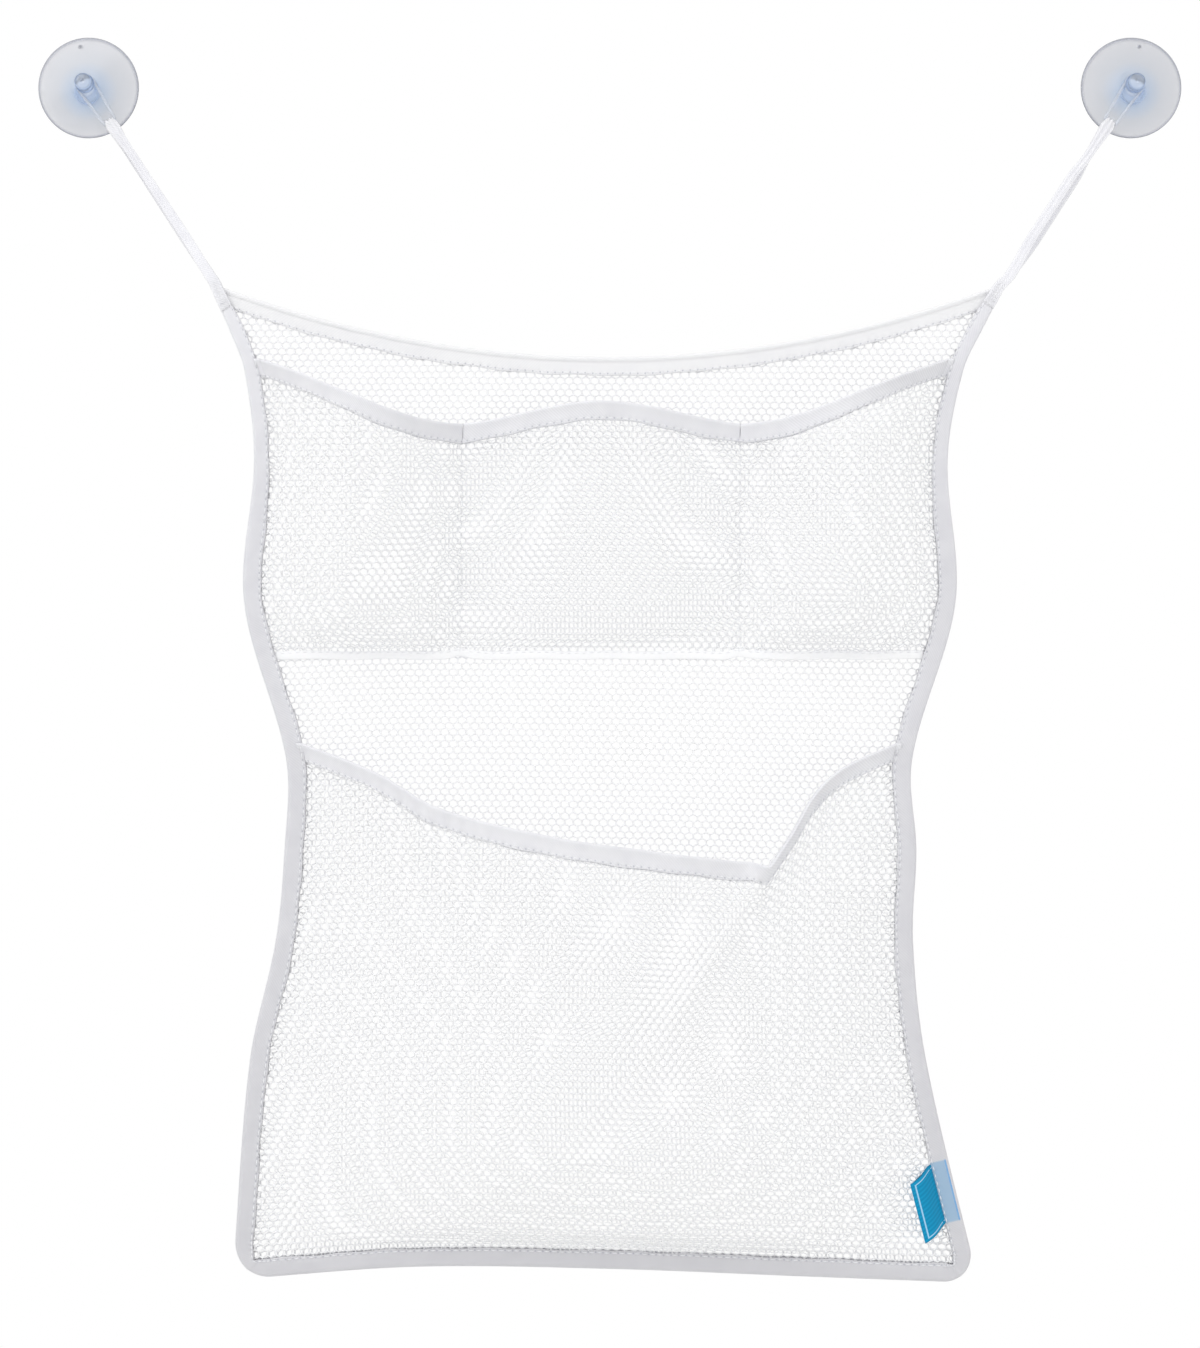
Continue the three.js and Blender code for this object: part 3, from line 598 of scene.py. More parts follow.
panel_grid = laid(back_panel, (0, 1), (0, 1))
row_grid = laid(small_pockets, (-SEWN_IN, 1 + SEWN_IN), (-SEWN_UP / 2, 1))
large_grid = laid(large_pocket, (-SEWN_IN, 1 + SEWN_IN), (-SEWN_UP, 1))
net_piece("back_net_upper", "back_panel", panel_grid, upper_half)
net_piece("back_net_lower", "back_panel", panel_grid, lower_half)
net_piece("small_pocket_net", "small_pockets", row_grid)
net_piece("large_pocket_net", "large_pocket", large_grid, inside_tape)

# %% [markdown]
# ## Binding tape
# The edges are bound with a soft polyester twill tape, folded in half round the cloth and sewn through near
# its inner edge. It has a satin look, faint slanting twill lines and small puckers where the stitches draw
# it in. The real twill is finer than a pixel here, so its lines are drawn a little wider, 1.4 mm apart. Its
# map runs along the tape in x, and in y from the free edge to the fold, on the front and on the back alike.
# So the needle holes, with painted shade in them that shows as a row of dark dots, and the label's tail
# under the thin tape are drawn by the map too.

# %% Tape material
TWILL_LINES = 1.4
TWILL_SHARE = 0.2
TAPE_MOTTLE = 9
TAPE_TONES = ("#DEDEE4", "#F1F1F5")
# Lighter tones for the top tape: painted light, where more light falls from above.
TOP_LIT_TONES = ("#F0F0F5", "#FAFAFD")
# Share of painted shade on the side tape at the foot, where less light falls than at the top.
SIDE_FOOT_SHADE = 0.5
STITCH_PITCH = 3.5
STITCH_EDGE = 0.9
# Radius of the dark dot of painted shade at each needle hole.
HOLE_SHADE_RADIUS = 0.55
TAIL_REACH = 7.4
TAIL_LINE = 0.8


def shaded_to_foot(tree, tone, foot_shade):
    """A tone with painted shade that turns it greyer from the bag's corners to its foot, by a share there,
    where less light falls.
    """
    height = add(tree, "ShaderNodeSeparateXYZ", {"Vector": own_place(tree)}).outputs["Z"]
    lower = in_range(tree, height, -CORNER_DROP * MM, -FOOT_DROP * MM)
    # Painted shade: the tone turns greyer lower down.
    grey = calc(tree, "MULTIPLY", calc(tree, "SQRT", lower), foot_shade)
    return between(tree, grey, tone, "#B8B7BA")


def shade_in_holes(tree, x, y, tone):
    """A tone with a dark dot of painted shade at the needle hole of each stitch."""
    beat = calc(tree, "FRACT", calc(tree, "DIVIDE", x, STITCH_PITCH * MM))
    off_x = calc(tree, "MULTIPLY_ADD", beat, STITCH_PITCH, -STITCH_PITCH / 2)
    off_y = calc(tree, "MULTIPLY_ADD", y, 1 / MM, -STITCH_EDGE)
    off = add(tree, "ShaderNodeCombineXYZ", {"X": off_x, "Y": off_y})
    away = add(tree, "ShaderNodeVectorMath", {0: off.outputs[0]}, operation="LENGTH").outputs["Value"]
    # Painted shade: each needle hole is darkened towards a blue grey.
    hole = in_range(tree, away, HOLE_SHADE_RADIUS, HOLE_SHADE_RADIUS / 2, (0.0, 0.5))
    return between(tree, hole, tone, "#A4A6B2")


def over_tail(tree, y, tone):
    """A tone through which the label's tail shows as a pale patch, with a bright line at its end."""
    tail = add(tree, "ShaderNodeAttribute", attribute_name="tail").outputs["Fac"]
    near = calc(tree, "LESS_THAN", y, TAIL_REACH * MM)
    patch = between(tree, calc(tree, "MULTIPLY", near, tail), tone, "#A3BDD4")
    end = calc(tree, "COMPARE", y, (TAIL_REACH - TAIL_LINE / 2) * MM, TAIL_LINE / 2 * MM)
    return between(tree, calc(tree, "MULTIPLY", end, tail), patch, "#7FAEDA")


def twill_tape(tree, tones, foot_shade):
    """Twill tape between a darker and a lighter tone, with painted shade towards the foot by a share. It is
    thin and lets light through, so its fold is not dark inside."""
    _, x, y = on_cloth(tree)
    turns = calc(tree, "MULTIPLY", calc(tree, "ADD", x, y), 2 * np.pi / (TWILL_LINES * MM))
    lines = calc(tree, "SINE", turns)
    shade = calc(tree, "MULTIPLY_ADD", lines, TWILL_SHARE, noise(tree, TAPE_MOTTLE, 4.0))
    tone = shaded_to_foot(tree, between(tree, shade, *tones), foot_shade)
    tone = over_tail(tree, y, shade_in_holes(tree, x, y, tone))
    return {"Base Color": tone, "Normal": relief(tree, lines, 0.12, 0.1),
            "Roughness": 0.55, "IOR": 1.5, "Sheen Weight": 0.12, "Sheen Roughness": 0.4,
            "Subsurface Weight": 0.7, "Subsurface Radius": (1.0, 1.0, 1.0), "Subsurface Scale": 1.0 * MM}


SIDE_TAPE = material("twill_side_tape", twill_tape, TAPE_TONES, SIDE_FOOT_SHADE)
FINE_TAPE = material("twill_tape", twill_tape, TAPE_TONES, 0.0)
# The top tape is the same twill in lighter tones, as painted light from above.
LIT_TOP_TAPE = material("twill_top_tape", twill_tape, TOP_LIT_TONES, 0.0)

# %% Thread material
THREAD_TWIST = 0.8


def sewing_thread(tree):
    """Spun polyester thread: white, with a soft shine and a fine twist across it."""
    tone = between(tree, noise(tree, THREAD_TWIST), "#E3E4EA", "#FCFCFD")
    return {"Base Color": tone, "Roughness": 0.42, "IOR": 1.5, "Sheen Weight": 0.2}


THREAD = material("sewing_thread", sewing_thread)

# %% [markdown]
# A tape is a section carried along a path. The section is a long narrow U, with its two free edges towards
# the cloth. Along the path the stitches draw both legs in a little, which makes the row of puckers, and the
# free edges wander by a fraction of a millimetre, as sewn tape does. The inside of the U is hidden, so it
# has few points.

# %% Folded section
OUTSIDE_STEPS = (12, 8)
INSIDE_STEPS = (3, 4)


def folded(back, front, width=TAPE_WIDTH, thick=TAPE_THICK):
    """Closed section of a tape folded in half, as rows of (depth, out): the outside from the front leg round
    the fold to the back leg, then the inside back again."""
    middle = (front + back) / 2
    outside = front - middle, 0, OUTSIDE_STEPS
    inside = front - middle - thick, thick, INSIDE_STEPS
    loops = []
    for radius, depth, (legs, turns) in (outside, inside):
        leg = np.linspace(width, depth + radius, legs)
        turn = np.linspace(np.pi / 2, -np.pi / 2, turns + 1)[1:-1]
        fold = np.stack([depth + radius - radius * np.cos(turn), middle + radius * np.sin(turn)], -1)
        fore = np.stack([leg, np.full(legs, middle + radius)], -1)
        aft = np.stack([leg[::-1], np.full(legs, middle - radius)], -1)
        loops.append(np.concatenate([fore, fold, aft]))
    return np.concatenate([loops[0], loops[1][::-1]])


def from_edge(section):
    """Distance of each point of a folded section from the nearest free edge, along the tape's outside."""
    around = lengths(section)
    last_outside = 2 * OUTSIDE_STEPS[0] + OUTSIDE_STEPS[1] - 2
    return np.minimum(around, np.abs(around[last_outside] - around))


# %% Tape along a path
PATH_STEP = 0.8
STITCH_DEPTH = TAPE_WIDTH - STITCH_EDGE
PUCKER = 0.2
PUCKER_HALF = 1.1
WANDER = 0.2
WANDER_WAVES = ((8.3, 0), (3.7, 1))
CREASE_DEPTH = 2.6
CREASE_HALF = 0.6


def evenly(points, step, *others):
    """A path again with points about a step apart, and the vectors that go with them, which keep their
    length."""
    along = lengths(points)
    at = np.linspace(0, along[-1], int(along[-1] / step) + 1)
    again = [np.stack([np.interp(at, along, a[:, k]) for k in range(3)], -1) for a in (points, *others)]
    sizes = [np.interp(at, along, np.linalg.norm(a, axis=1))[:, None] for a in others]
    return at, again[0], [unit(a) * size for a, size in zip(again[1:], sizes)]


def tape(name, nodes, path, inward, normal, section, cloth, crease=0.0, curl=0.0):
    """A tape piece along a path, with its puckers, its wandering edges and a map in metres of cloth. A crease
    may run along its front near the fold, and the fold may curl forward. The tape is as wide as the inward
    vectors are long, as a share of its full width."""
    at, path, (inward, normal) = evenly(path, PATH_STEP, inward, normal)
    beat = at * int(at[-1] / STITCH_PITCH) / at[-1]
    depth, out = section.T
    share = depth / depth.max()
    middle = (out.max() + out.min()) / 2
    leg = np.sign(out - middle) * bell(depth - STITCH_DEPTH, PUCKER_HALF)
    out = out - crease * bell(depth - CREASE_DEPTH, CREASE_HALF) * (out > middle) + curl * (1 - share) ** 2
    draw = PUCKER * (np.cos(2 * np.pi * beat) - 1)[:, None] * leg
    waves = sum(np.sin(at / length + start) for length, start in WANDER_WAVES)
    reach = depth + WANDER * waves[:, None] * share ** 2
    rings = path[:, None] + reach[..., None] * inward[:, None] + (out + draw)[..., None] * normal[:, None]
    faces, places = carried(rings)
    edge = from_edge(section)
    uv = np.stack([beat[places[:, 0]] * STITCH_PITCH, np.append(edge, edge[0])[places[:, 1]]], -1) * MM
    piece = make(name, rings.reshape(-1, 3), faces, cloth, "bag", uv)
    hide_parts(*nodes)
    return piece


# %% Stitches
STITCH_LENGTH = 2.5
THREAD_RADIUS = 0.26
STITCH_RINGS = np.array([0.0, 0.7, 1.0, 0.7, 0.0])
STITCH_TIP = 0.15
STITCH_SIDES = 6


def stitches(name, rows, length=STITCH_LENGTH):
    """Rows of short stitches. Each is a small spindle that lies along its row: rings of a few points whose
    radius rises and falls, and which sink into the cloth at both ends. A row is one point for each stitch
    and the way out of the cloth there."""
    share = np.linspace(-0.5, 0.5, len(STITCH_RINGS)) * length
    angle = np.arange(STITCH_SIDES) * 2 * np.pi / STITCH_SIDES
    radius = THREAD_RADIUS * np.maximum(STITCH_RINGS, STITCH_TIP)[:, None]
    sink = THREAD_RADIUS * (STITCH_RINGS - 1)
    points = []
    for path, normal in rows:
        way = unit(np.gradient(path, axis=0))
        side = unit(np.cross(way, normal))
        core = path[:, None] + share[:, None] * way[:, None] + sink[:, None] * normal[:, None]
        ring = (np.cos(angle) * radius)[..., None] * side[:, None, None]
        ring = ring + (np.sin(angle) * radius)[..., None] * normal[:, None, None]
        points.append(core[:, :, None] + ring)
    points = np.concatenate(points)
    count, n, m = points.shape[:3]
    faces, _ = carried(points[0])
    first = (np.arange(count) * n * m)[:, None, None]
    sides = (np.array(faces[:-2]) + first).reshape(-1, 4).tolist()
    caps = (np.array(faces[-2:]) + first).reshape(-1, m).tolist()
    piece = make(name, points.reshape(-1, 3), sides + caps, THREAD, "bag")


def seam_rows(path, inward, normal, front, back):
    """The two rows of stitches of a bound edge, on the front and on the back of its tape."""
    _, path, (inward, normal) = evenly(path, STITCH_PITCH, inward, normal)
    line = path + STITCH_DEPTH * inward
    fore = line + (front + THREAD_RADIUS / 2) * normal
    aft = line + (back - THREAD_RADIUS / 2) * normal
    return [(fore, normal), (aft, -normal)]


# %% [markdown]
# One tape runs down the left side, round the foot and up the right side. Its path follows the side line,
# turns each foot corner on an arc and runs along the foot. Its inner edge turns the corner square, and the
# stretch along the foot is lapped under the sides. Towards the top corners the tape turns edge on and looks
# narrow, and it ends under the strap. At the low right a pale blue patch shows where the tail of the woven
# label lies inside the thin tape.

# %% Side and foot tape
ARC_STEPS = 30
SIDE_STEPS = 200
SIDE_WIDTHS = [(0, 0.5), (22, 0.74), (75, 0.8), (120, 1.0), (150, 1.0)]
LAP_ANGLE = np.radians(52)
LAP_STEP = 0.35


def side_line(side):
    """Points x and drop down one side and round its foot corner, with the tape's share of its width there and
    how far it is lapped under. On the arc, at an angle a, the inner edge is square when its distance from the
    arc's middle is the inner radius over the larger of cos a and sin a."""
    radius = FOOT_RADII[side]
    centre = FOOT_DROP - radius
    centre_x = inside_x(side, centre, radius)
    start = -np.arctan(side * edge_slope(side, centre))
    drop = np.linspace(CORNER_DROP, centre + radius * np.sin(start), SIDE_STEPS)
    angle = np.linspace(start, np.pi / 2, ARC_STEPS)[1:]
    x = np.concatenate([edge_x(side, drop), centre_x + side * radius * np.cos(angle)])
    inner = (radius - TAPE_WIDTH) / np.maximum(np.cos(angle), np.sin(angle))
    sides = through(SIDE_WIDTHS, np.minimum(drop - CORNER_DROP, SIDE_WIDTHS[-1][0]))
    share = np.concatenate([sides, (radius - inner) / TAPE_WIDTH])
    lap = np.concatenate([0 * drop, LAP_STEP * (angle > LAP_ANGLE)])
    drop = settled(x, np.concatenate([drop, centre + radius * np.sin(angle)]))
    return np.stack([x, drop, share, lap], -1)


def foot_line(start, end):
    """The same four values along the foot, between the ends of the two sides."""
    x = np.linspace(start, end, SIDE_STEPS)[1:-1]
    return np.stack([x, settled(x, FOOT_DROP + 0 * x), 1 + 0 * x, LAP_STEP + 0 * x], -1)


def flat_frame(line):
    """Path, way into the bag and way out to the front for an edge that has the bag on its left."""
    way = unit(np.gradient(line, axis=0))
    path = place(line[:, 0], 0, line[:, 1])
    inward = place(way[:, 1], 0, -way[:, 0])
    return path, inward, repeated(FRONT, len(line))


def side_frame():
    left, right = side_line(-1), side_line(1)
    line = np.concatenate([left, foot_line(left[-1, 0], right[-1, 0]), right[::-1]])
    path, inward, normal = flat_frame(line[:, :2])
    path[:, 1] += line[:, 3]
    return path, inward * line[:, 2:3], normal


side_section = folded(BIND_BACK, BIND_FRONT)
side_nodes = ("left_binding", "foot_binding", "right_binding")
side_edge = side_frame()
side_tape = tape("side_and_foot_tape", side_nodes, *side_edge, side_section, SIDE_TAPE)
side_rows = seam_rows(*side_edge, BIND_FRONT, BIND_BACK)

# %% Pale tail of the label
TAIL_DROPS = (501.5, 529.5)
tape_points = np.zeros(len(side_tape.data.vertices) * 3, np.float32)
side_tape.data.vertices.foreach_get("co", tape_points)
tape_x, tape_y, tape_z = tape_points.reshape(-1, len(side_section), 3).T / MM
tape_drop = np.broadcast_to(-tape_z[:1], tape_z.shape)
over = (tape_x > 0) & (-tape_y > PANEL_OUT) & (tape_drop > TAIL_DROPS[0]) & (tape_drop < TAIL_DROPS[1])
tail = side_tape.data.attributes.new("tail", "FLOAT", "POINT")
tail.data.foreach_set("value", over.T.ravel().astype(np.float32))
print("points over the tail:", over.sum())

# %% Top tape
TOP_HIDDEN = 6
TOP_BACK = 1.4
TOP_CREASE = 0.3
top_x = np.linspace(edge_x(1, CORNER_DROP) - TOP_HIDDEN, edge_x(-1, CORNER_DROP) + TOP_HIDDEN, SIDE_STEPS)
top_path, _, top_normal = flat_frame(np.stack([top_x, top_drop(top_x)], -1))
top_frame = top_path, repeated(DOWN, SIDE_STEPS), top_normal
tape("top_tape", ("top_binding",), *top_frame, folded(TOP_BACK, TOP_BIND_FRONT), LIT_TOP_TAPE, crease=TOP_CREASE)
top_rows = seam_rows(*top_frame, TOP_BIND_FRONT, TOP_BACK)

# %% [markdown]
# The tape on a pocket's mouth is folded over the edge of the sheet. Its legs lie along the sheet, so where
# the large mouth climbs steeply the tape is seen nearly edge on and looks narrow.

# %% Mouth tapes
MOUTH_OUT = NET_THICK / 2 + SEAM_GAP + TAPE_THICK
MOUTH_STEPS = 600
MOUTH_HIDDEN = 0.012
MOUTH_SINK = 0.7
MOUTH_CURL = 1.4
BELOW_MOUTH = 0.96


def mouth_frame(sheet):
    """Path along a mouth, way down the sheet and way to the front, from differences on the sheet. Both ends
    sink a little, to lie hidden in the side tape."""
    share = np.linspace(-MOUTH_HIDDEN, 1 + MOUTH_HIDDEN, MOUTH_STEPS)
    edge = sheet(share, np.ones(MOUTH_STEPS))
    down = unit(sheet(share, np.full(MOUTH_STEPS, BELOW_MOUTH)) - edge)
    normal = unit(np.cross(down, np.gradient(edge, axis=0)))
    sink = MOUTH_SINK * (1 - smooth(np.minimum(share, 1 - share), -MOUTH_HIDDEN / 2, MOUTH_HIDDEN))
    edge[:, 1] += sink
    return edge - EDGE_INSET * down, down, normal


mouth_rows = []
for name, node, sheet in (("small_mouth_tape", "small_mouth_binding", small_pockets),
                          ("large_mouth_tape", "large_mouth_binding", large_pocket)):
    mouth = mouth_frame(sheet)
    tape(name, (node,), *mouth, folded(-MOUTH_OUT, MOUTH_OUT), FINE_TAPE, curl=MOUTH_CURL)
    mouth_rows += seam_rows(*mouth, MOUTH_OUT, -MOUTH_OUT)

# %% [markdown]
# The foot of the small pockets isn't bound. The net is turned up once and sewn down, which shows as a
# narrow bright edge with a notch at each dividing seam. The dividers are plain rows of stitches.

# %% Turned hem
HEM_WIDTH = 4
HEM_THICK = 1.0
HEM_SIDES = 16
HEM_NOTCH = 1.3
HEM_NOTCH_HALF = 4
HEM_WAVE = 0.5
HEM_WAVE_LENGTH = 11
HEM_STITCH_DEPTH = 0.8
DIVIDERS_X = [border(ROW_SEAM) for border in ROW_BORDERS[1:3]]


def hem_frame():
    """Path along the foot of the small pockets, way down and way to the front."""
    line = small_pockets(np.linspace(0, 1, SIDE_STEPS), np.zeros(SIDE_STEPS))
    x = line[:, 0]
    notch = sum(HEM_NOTCH * bell(x - divider, HEM_NOTCH_HALF) for divider in DIVIDERS_X)
    line[:, 2] += notch - HEM_WAVE * np.sin(x / HEM_WAVE_LENGTH) ** 2
    _, path, ways = evenly(line, PATH_STEP, repeated(DOWN, SIDE_STEPS), repeated(FRONT, SIDE_STEPS))
    return path, *ways


def hem_rows(path, down, front):
    """Stitches along the hem and on the back of the panel behind it."""
    line = path + HEM_STITCH_DEPTH * down + HEM_THICK / 2 * front
    _, fore, (front,) = evenly(line, STITCH_PITCH, front)
    aft = fore.copy()
    aft[:, 1] = -PANEL_OUT + NET_THICK / 2
    return [(fore, front), (aft, -front)]


hem_path, hem_down, hem_front = hem_frame()
turn = np.linspace(0, 2 * np.pi, HEM_SIDES + 1)[:-1, None]
hem_depth = HEM_WIDTH / 2 - HEM_WIDTH / 2 * np.cos(turn)
hem_out = HEM_THICK / 2 * np.sin(turn)
hem_rings = hem_path[:, None] + hem_depth * hem_down[:, None] + hem_out * hem_front[:, None]
hem = make("small_pocket_hem", hem_rings.reshape(-1, 3), carried(hem_rings)[0], NET, "bag")

# %% Dividing seams and all stitches
DIVIDER_TOP = 0.93
DIVIDER_LIFT = 0.5


def divider_row(x):
    """Stitches up a dividing seam, from its x at the foot of the row."""
    knot = (x - left_seam(ROW_SEAM)) / (right_seam(ROW_SEAM) - left_seam(ROW_SEAM))
    up = np.linspace(0, DIVIDER_TOP, SIDE_STEPS)
    front = repeated(FRONT, SIDE_STEPS)
    line = small_pockets(np.full(SIDE_STEPS, knot), up) + DIVIDER_LIFT * front
    _, path, (front,) = evenly(line, STITCH_PITCH, front)
    return path, front


sewn_rows = hem_rows(hem_path, hem_down, hem_front) + [divider_row(x) for x in DIVIDERS_X]
stitches("stitches", side_rows + top_rows + mouth_rows + sewn_rows)

# %% [markdown]
# ## Suction cups
# The cups are injection moulded in soft clear PVC with a blue cast. The thin disc looks pale grey, and the
# thick knob collects the blue. A turned profile gives the form. The tint is painted by the map, from the
# middle to the rim, where light has to pass the length of the edge and the plastic looks dark. The pale
# middle of the tint is a painted highlight on the knob's tip.

# %% Clear plastic
PVC_HAZE = 4
PIP_DOT = (0.5 * MM, 1.2 * MM)
# The palest stops at the middle are a painted highlight on the knob's tip; the dark stops at the rim stand
# for light that passes the length of the edge.
CUP_TINT_AND_HIGHLIGHT = [(0.0, "#E4EBF6"), (0.12, "#DBE5F4"), (0.17, "#AFC3E2"), (0.21, "#B6C9E6"), (0.3, "#C8D5E7"),
             (0.6, "#DADDE3"), (0.93, "#E1E2E6"), (0.97, "#C9CBD3"), (1.0, "#A6A9B3")]
CUP_ROUGHNESS = 0.2
CORD_STOPS = [(0.0, "#F2F5FA"), (1.0, "#E9EDF5")]
CORD_ROUGHNESS = 0.1


def tinted(tree, share, stops):
    """The socket of a colour that runs through stops (place, colour)."""
    ramp = add(tree, "ShaderNodeValToRGB", {"Fac": share})
    elements = ramp.color_ramp.elements
    elements.remove(elements[1])
    for k, (at, text) in enumerate(stops):
        stop = elements[0] if k == 0 else elements.new(at)
        stop.position = at
        stop.color = colour(text)
    return ramp.outputs["Color"]


def soft_pvc(tree, stops, roughness):
    """Clear PVC whose tint follows the map's first coordinate. The second is the distance from the moulding
    pip, which shows as a dark dot."""
    _, x, y = on_cloth(tree)
    rough = calc(tree, "MULTIPLY_ADD", noise(tree, PVC_HAZE, 3.0), roughness, roughness / 2)
    dot = in_range(tree, y, *PIP_DOT, (0.7, 0.0))
    tint = between(tree, dot, tinted(tree, x, stops), "#7F838E")
    return {"Base Color": tint, "Roughness": rough, "IOR": 1.5, "Specular IOR Level": 0.2,
            "Transmission Weight": 0.7}


CUP_PVC = material("soft_pvc_cup", soft_pvc, CUP_TINT_AND_HIGHLIGHT, CUP_ROUGHNESS)
CORD_PVC = material("soft_pvc_cord", soft_pvc, CORD_STOPS, CORD_ROUGHNESS)

# %% Turned profile
CUP_X = 243.7
CUP_RADIUS = 23.5
CUP_SEGMENTS = 160
HOLLOW = ((0, 2), (11.75, 2), (20, 0))
HOLLOW_STEPS = 16
LIP = [(21.5, 0), (23.1, 0), (23.4, 0.15), (23.5, 0.4), (23.45, 0.7), (23.2, 0.92)]
LIP_MIDDLE = 0.5
DOME = ((22.6, 0.98), (11.75, 2.1), (6.5, 4.1))
DOME_STEPS = 60
DOME_TOP = 4.2
KNOB = [(6.1, 4.2), (5.2, 4.45), (4.9, 4.9), (4.9, 5.5), (4.6, 5.8), (3.4, 5.8), (3.1, 6.1), (3.1, 7.9),
        (3.4, 8.2), (4.1, 8.2), (4.4, 8.45), (4.4, 9.25), (4.15, 9.5), (3.75, 9.5), (3.6, 9.7)]
TIP_RADIUS = 4.0
TIP_BASE = 12.6
TIP_TOP = 14.1
TIP_STEPS = 12
DIMPLE = [(0.9, 14.0), (0.6, 13.7), (0.3, 13.6), (0, 13.6)]
COLLAR_SAG = 3.0
COLLAR_START = (3.6, 4.6)
COLLAR_END = (5.7, 5.9)
PIP_RADIUS = 19.4
PIP_TURN = np.radians(11)
PIP_HEIGHT = 0.7
PIP_HALF = 0.9
HALO_DROP = 3


def cup_profile():
    """Radius and out of the cup from the middle of its hollow round the rim and up the knob to its tip."""
    turn = np.linspace(0, np.pi / 2, TIP_STEPS)[:-2]
    crown = np.stack([TIP_RADIUS * np.cos(turn), TIP_BASE + (TIP_TOP - TIP_BASE) * np.sin(turn)], -1)
    hollow = arc(*HOLLOW, HOLLOW_STEPS)
    dome = arc(*DOME, DOME_STEPS)
    return np.concatenate([hollow, LIP, dome, KNOB, crown, DIMPLE])


def suction_cup(name, side):
    """The profile turned about the knob's axis, with the moulding pip raised on the dome near the top. The
    soft collar under the neck is pulled down by the load, and the blue halo on the dome lies lower too."""
    radius, out = cup_profile().T
    angle = np.arange(CUP_SEGMENTS) * 2 * np.pi / CUP_SEGMENTS
    x = np.sin(angle)[:, None] * radius
    z = np.cos(angle)[:, None] * radius
    pip = np.hypot(x - side * PIP_RADIUS * np.sin(PIP_TURN), z - PIP_RADIUS * np.cos(PIP_TURN))
    rise = PIP_HEIGHT * np.exp(-(pip / PIP_HALF) ** 4) * (out > LIP_MIDDLE)
    sag = COLLAR_SAG * smooth(out, *COLLAR_START) * (1 - smooth(out, *COLLAR_END))
    rings = place(side * CUP_X + x, out + rise, -z + sag)
    faces, _ = quads(*rings.shape[:2], closed=True, around=False)
    halo = HALO_DROP * (1 - (radius / CUP_RADIUS) ** 2) * (out < DOME_TOP)
    shade = np.hypot(x, z + halo) / CUP_RADIUS
    uv = np.stack([shade.ravel()[faces], pip.ravel()[faces] * MM], -1)
    piece = make(name + "_cup", rings.reshape(-1, 3), faces, CUP_PVC, name + "_cup", uv)
    shut(piece)
    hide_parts(name + "_suction_cup")


for name, side in SIDES.items():
    suction_cup(name, side)

# %% [markdown]
# ## Hangers and straps
# A loop of clear cord lies in the neck of each knob and carries the strap. The strap is one tape that comes
# up from the bag's corner, turns round the end of the loop and goes back, so two legs hang together. They
# are gathered at the loop and twisted narrow, and at the corner they run out flush with the side tape. The
# back leg comes out from under the front one on its outer side, mostly on the right strap.

# %% Places along a strap
HANGER_OUT = 7.0
HANGER_REACH = 21
STRAP_RUN = np.hypot(CUP_X - CORNER_HALF, CORNER_DROP)


def strap_frame(side):
    """The cup's middle, the way from it to the bag's corner, and the way across the strap."""
    way = np.array([side * (CORNER_HALF - CUP_X), 0, -CORNER_DROP]) / STRAP_RUN
    return np.array([side * CUP_X, 0, 0]), way, np.array([-way[2], 0, way[0]])


def along_strap(side, run, out, across):
    """Points from the run down a strap, the distance out from the wall and the distance across."""
    middle, way, cross = strap_frame(side)
    run, out, across = (np.asarray(v, float)[..., None] for v in (run, out, across))
    return middle + run * way + across * cross + out * FRONT


# %% Hangers
CORD_RADIUS = 0.7
CORD_SIDES = 16
CORD_TINT = 0.5
NECK_RADIUS = 3.1
NECK_TURN = NECK_RADIUS + SEAM_GAP + CORD_RADIUS
NECK_STEPS = 40
EYE_HALF = 1.9
BAR_HALF = EYE_HALF + SEAM_GAP + CORD_RADIUS
BAR_BEND = 1.4
BAR_STEPS = 8


def hanger(name, side):
    """A closed loop: an arc round the neck, two straight runs and a bar with round corners. Its map gives one
    tint all over, far from any pip."""
    meet = np.arccos((NECK_TURN - BAR_HALF) / HANGER_REACH)
    angle = np.linspace(meet, 2 * np.pi - meet, NECK_STEPS)
    neck = NECK_TURN * np.stack([np.cos(angle), np.sin(angle)], -1)
    start, end = HANGER_REACH - BAR_BEND, BAR_HALF - BAR_BEND
    low = arc((start, -BAR_HALF), (HANGER_REACH, -BAR_HALF), (HANGER_REACH, -end), BAR_STEPS)
    high = arc((HANGER_REACH, end), (HANGER_REACH, BAR_HALF), (start, BAR_HALF), BAR_STEPS)
    run, across = np.concatenate([neck, low, high]).T
    path = along_strap(side, run, np.full(len(run), HANGER_OUT), across)
    way = unit(np.roll(path, -1, axis=0) - np.roll(path, 1, axis=0))
    turn = (np.arange(CORD_SIDES) * 2 * np.pi / CORD_SIDES)[:, None, None]
    ring = np.cos(turn) * np.cross(way, FRONT) + np.sin(turn) * FRONT
    rings = (path + CORD_RADIUS * ring).transpose(1, 0, 2)
    faces, _ = quads(*rings.shape[:2], closed=True)
    uv = np.stack([np.full(faces.shape, CORD_TINT), np.ones(faces.shape)], -1)
    piece = make(name + "_hanger_loop", rings.reshape(-1, 3), faces, CORD_PVC, name + "_hanger", uv)
    shut(piece)
    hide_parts(name + "_hanger")


for name, side in SIDES.items():
    hanger(name, side)

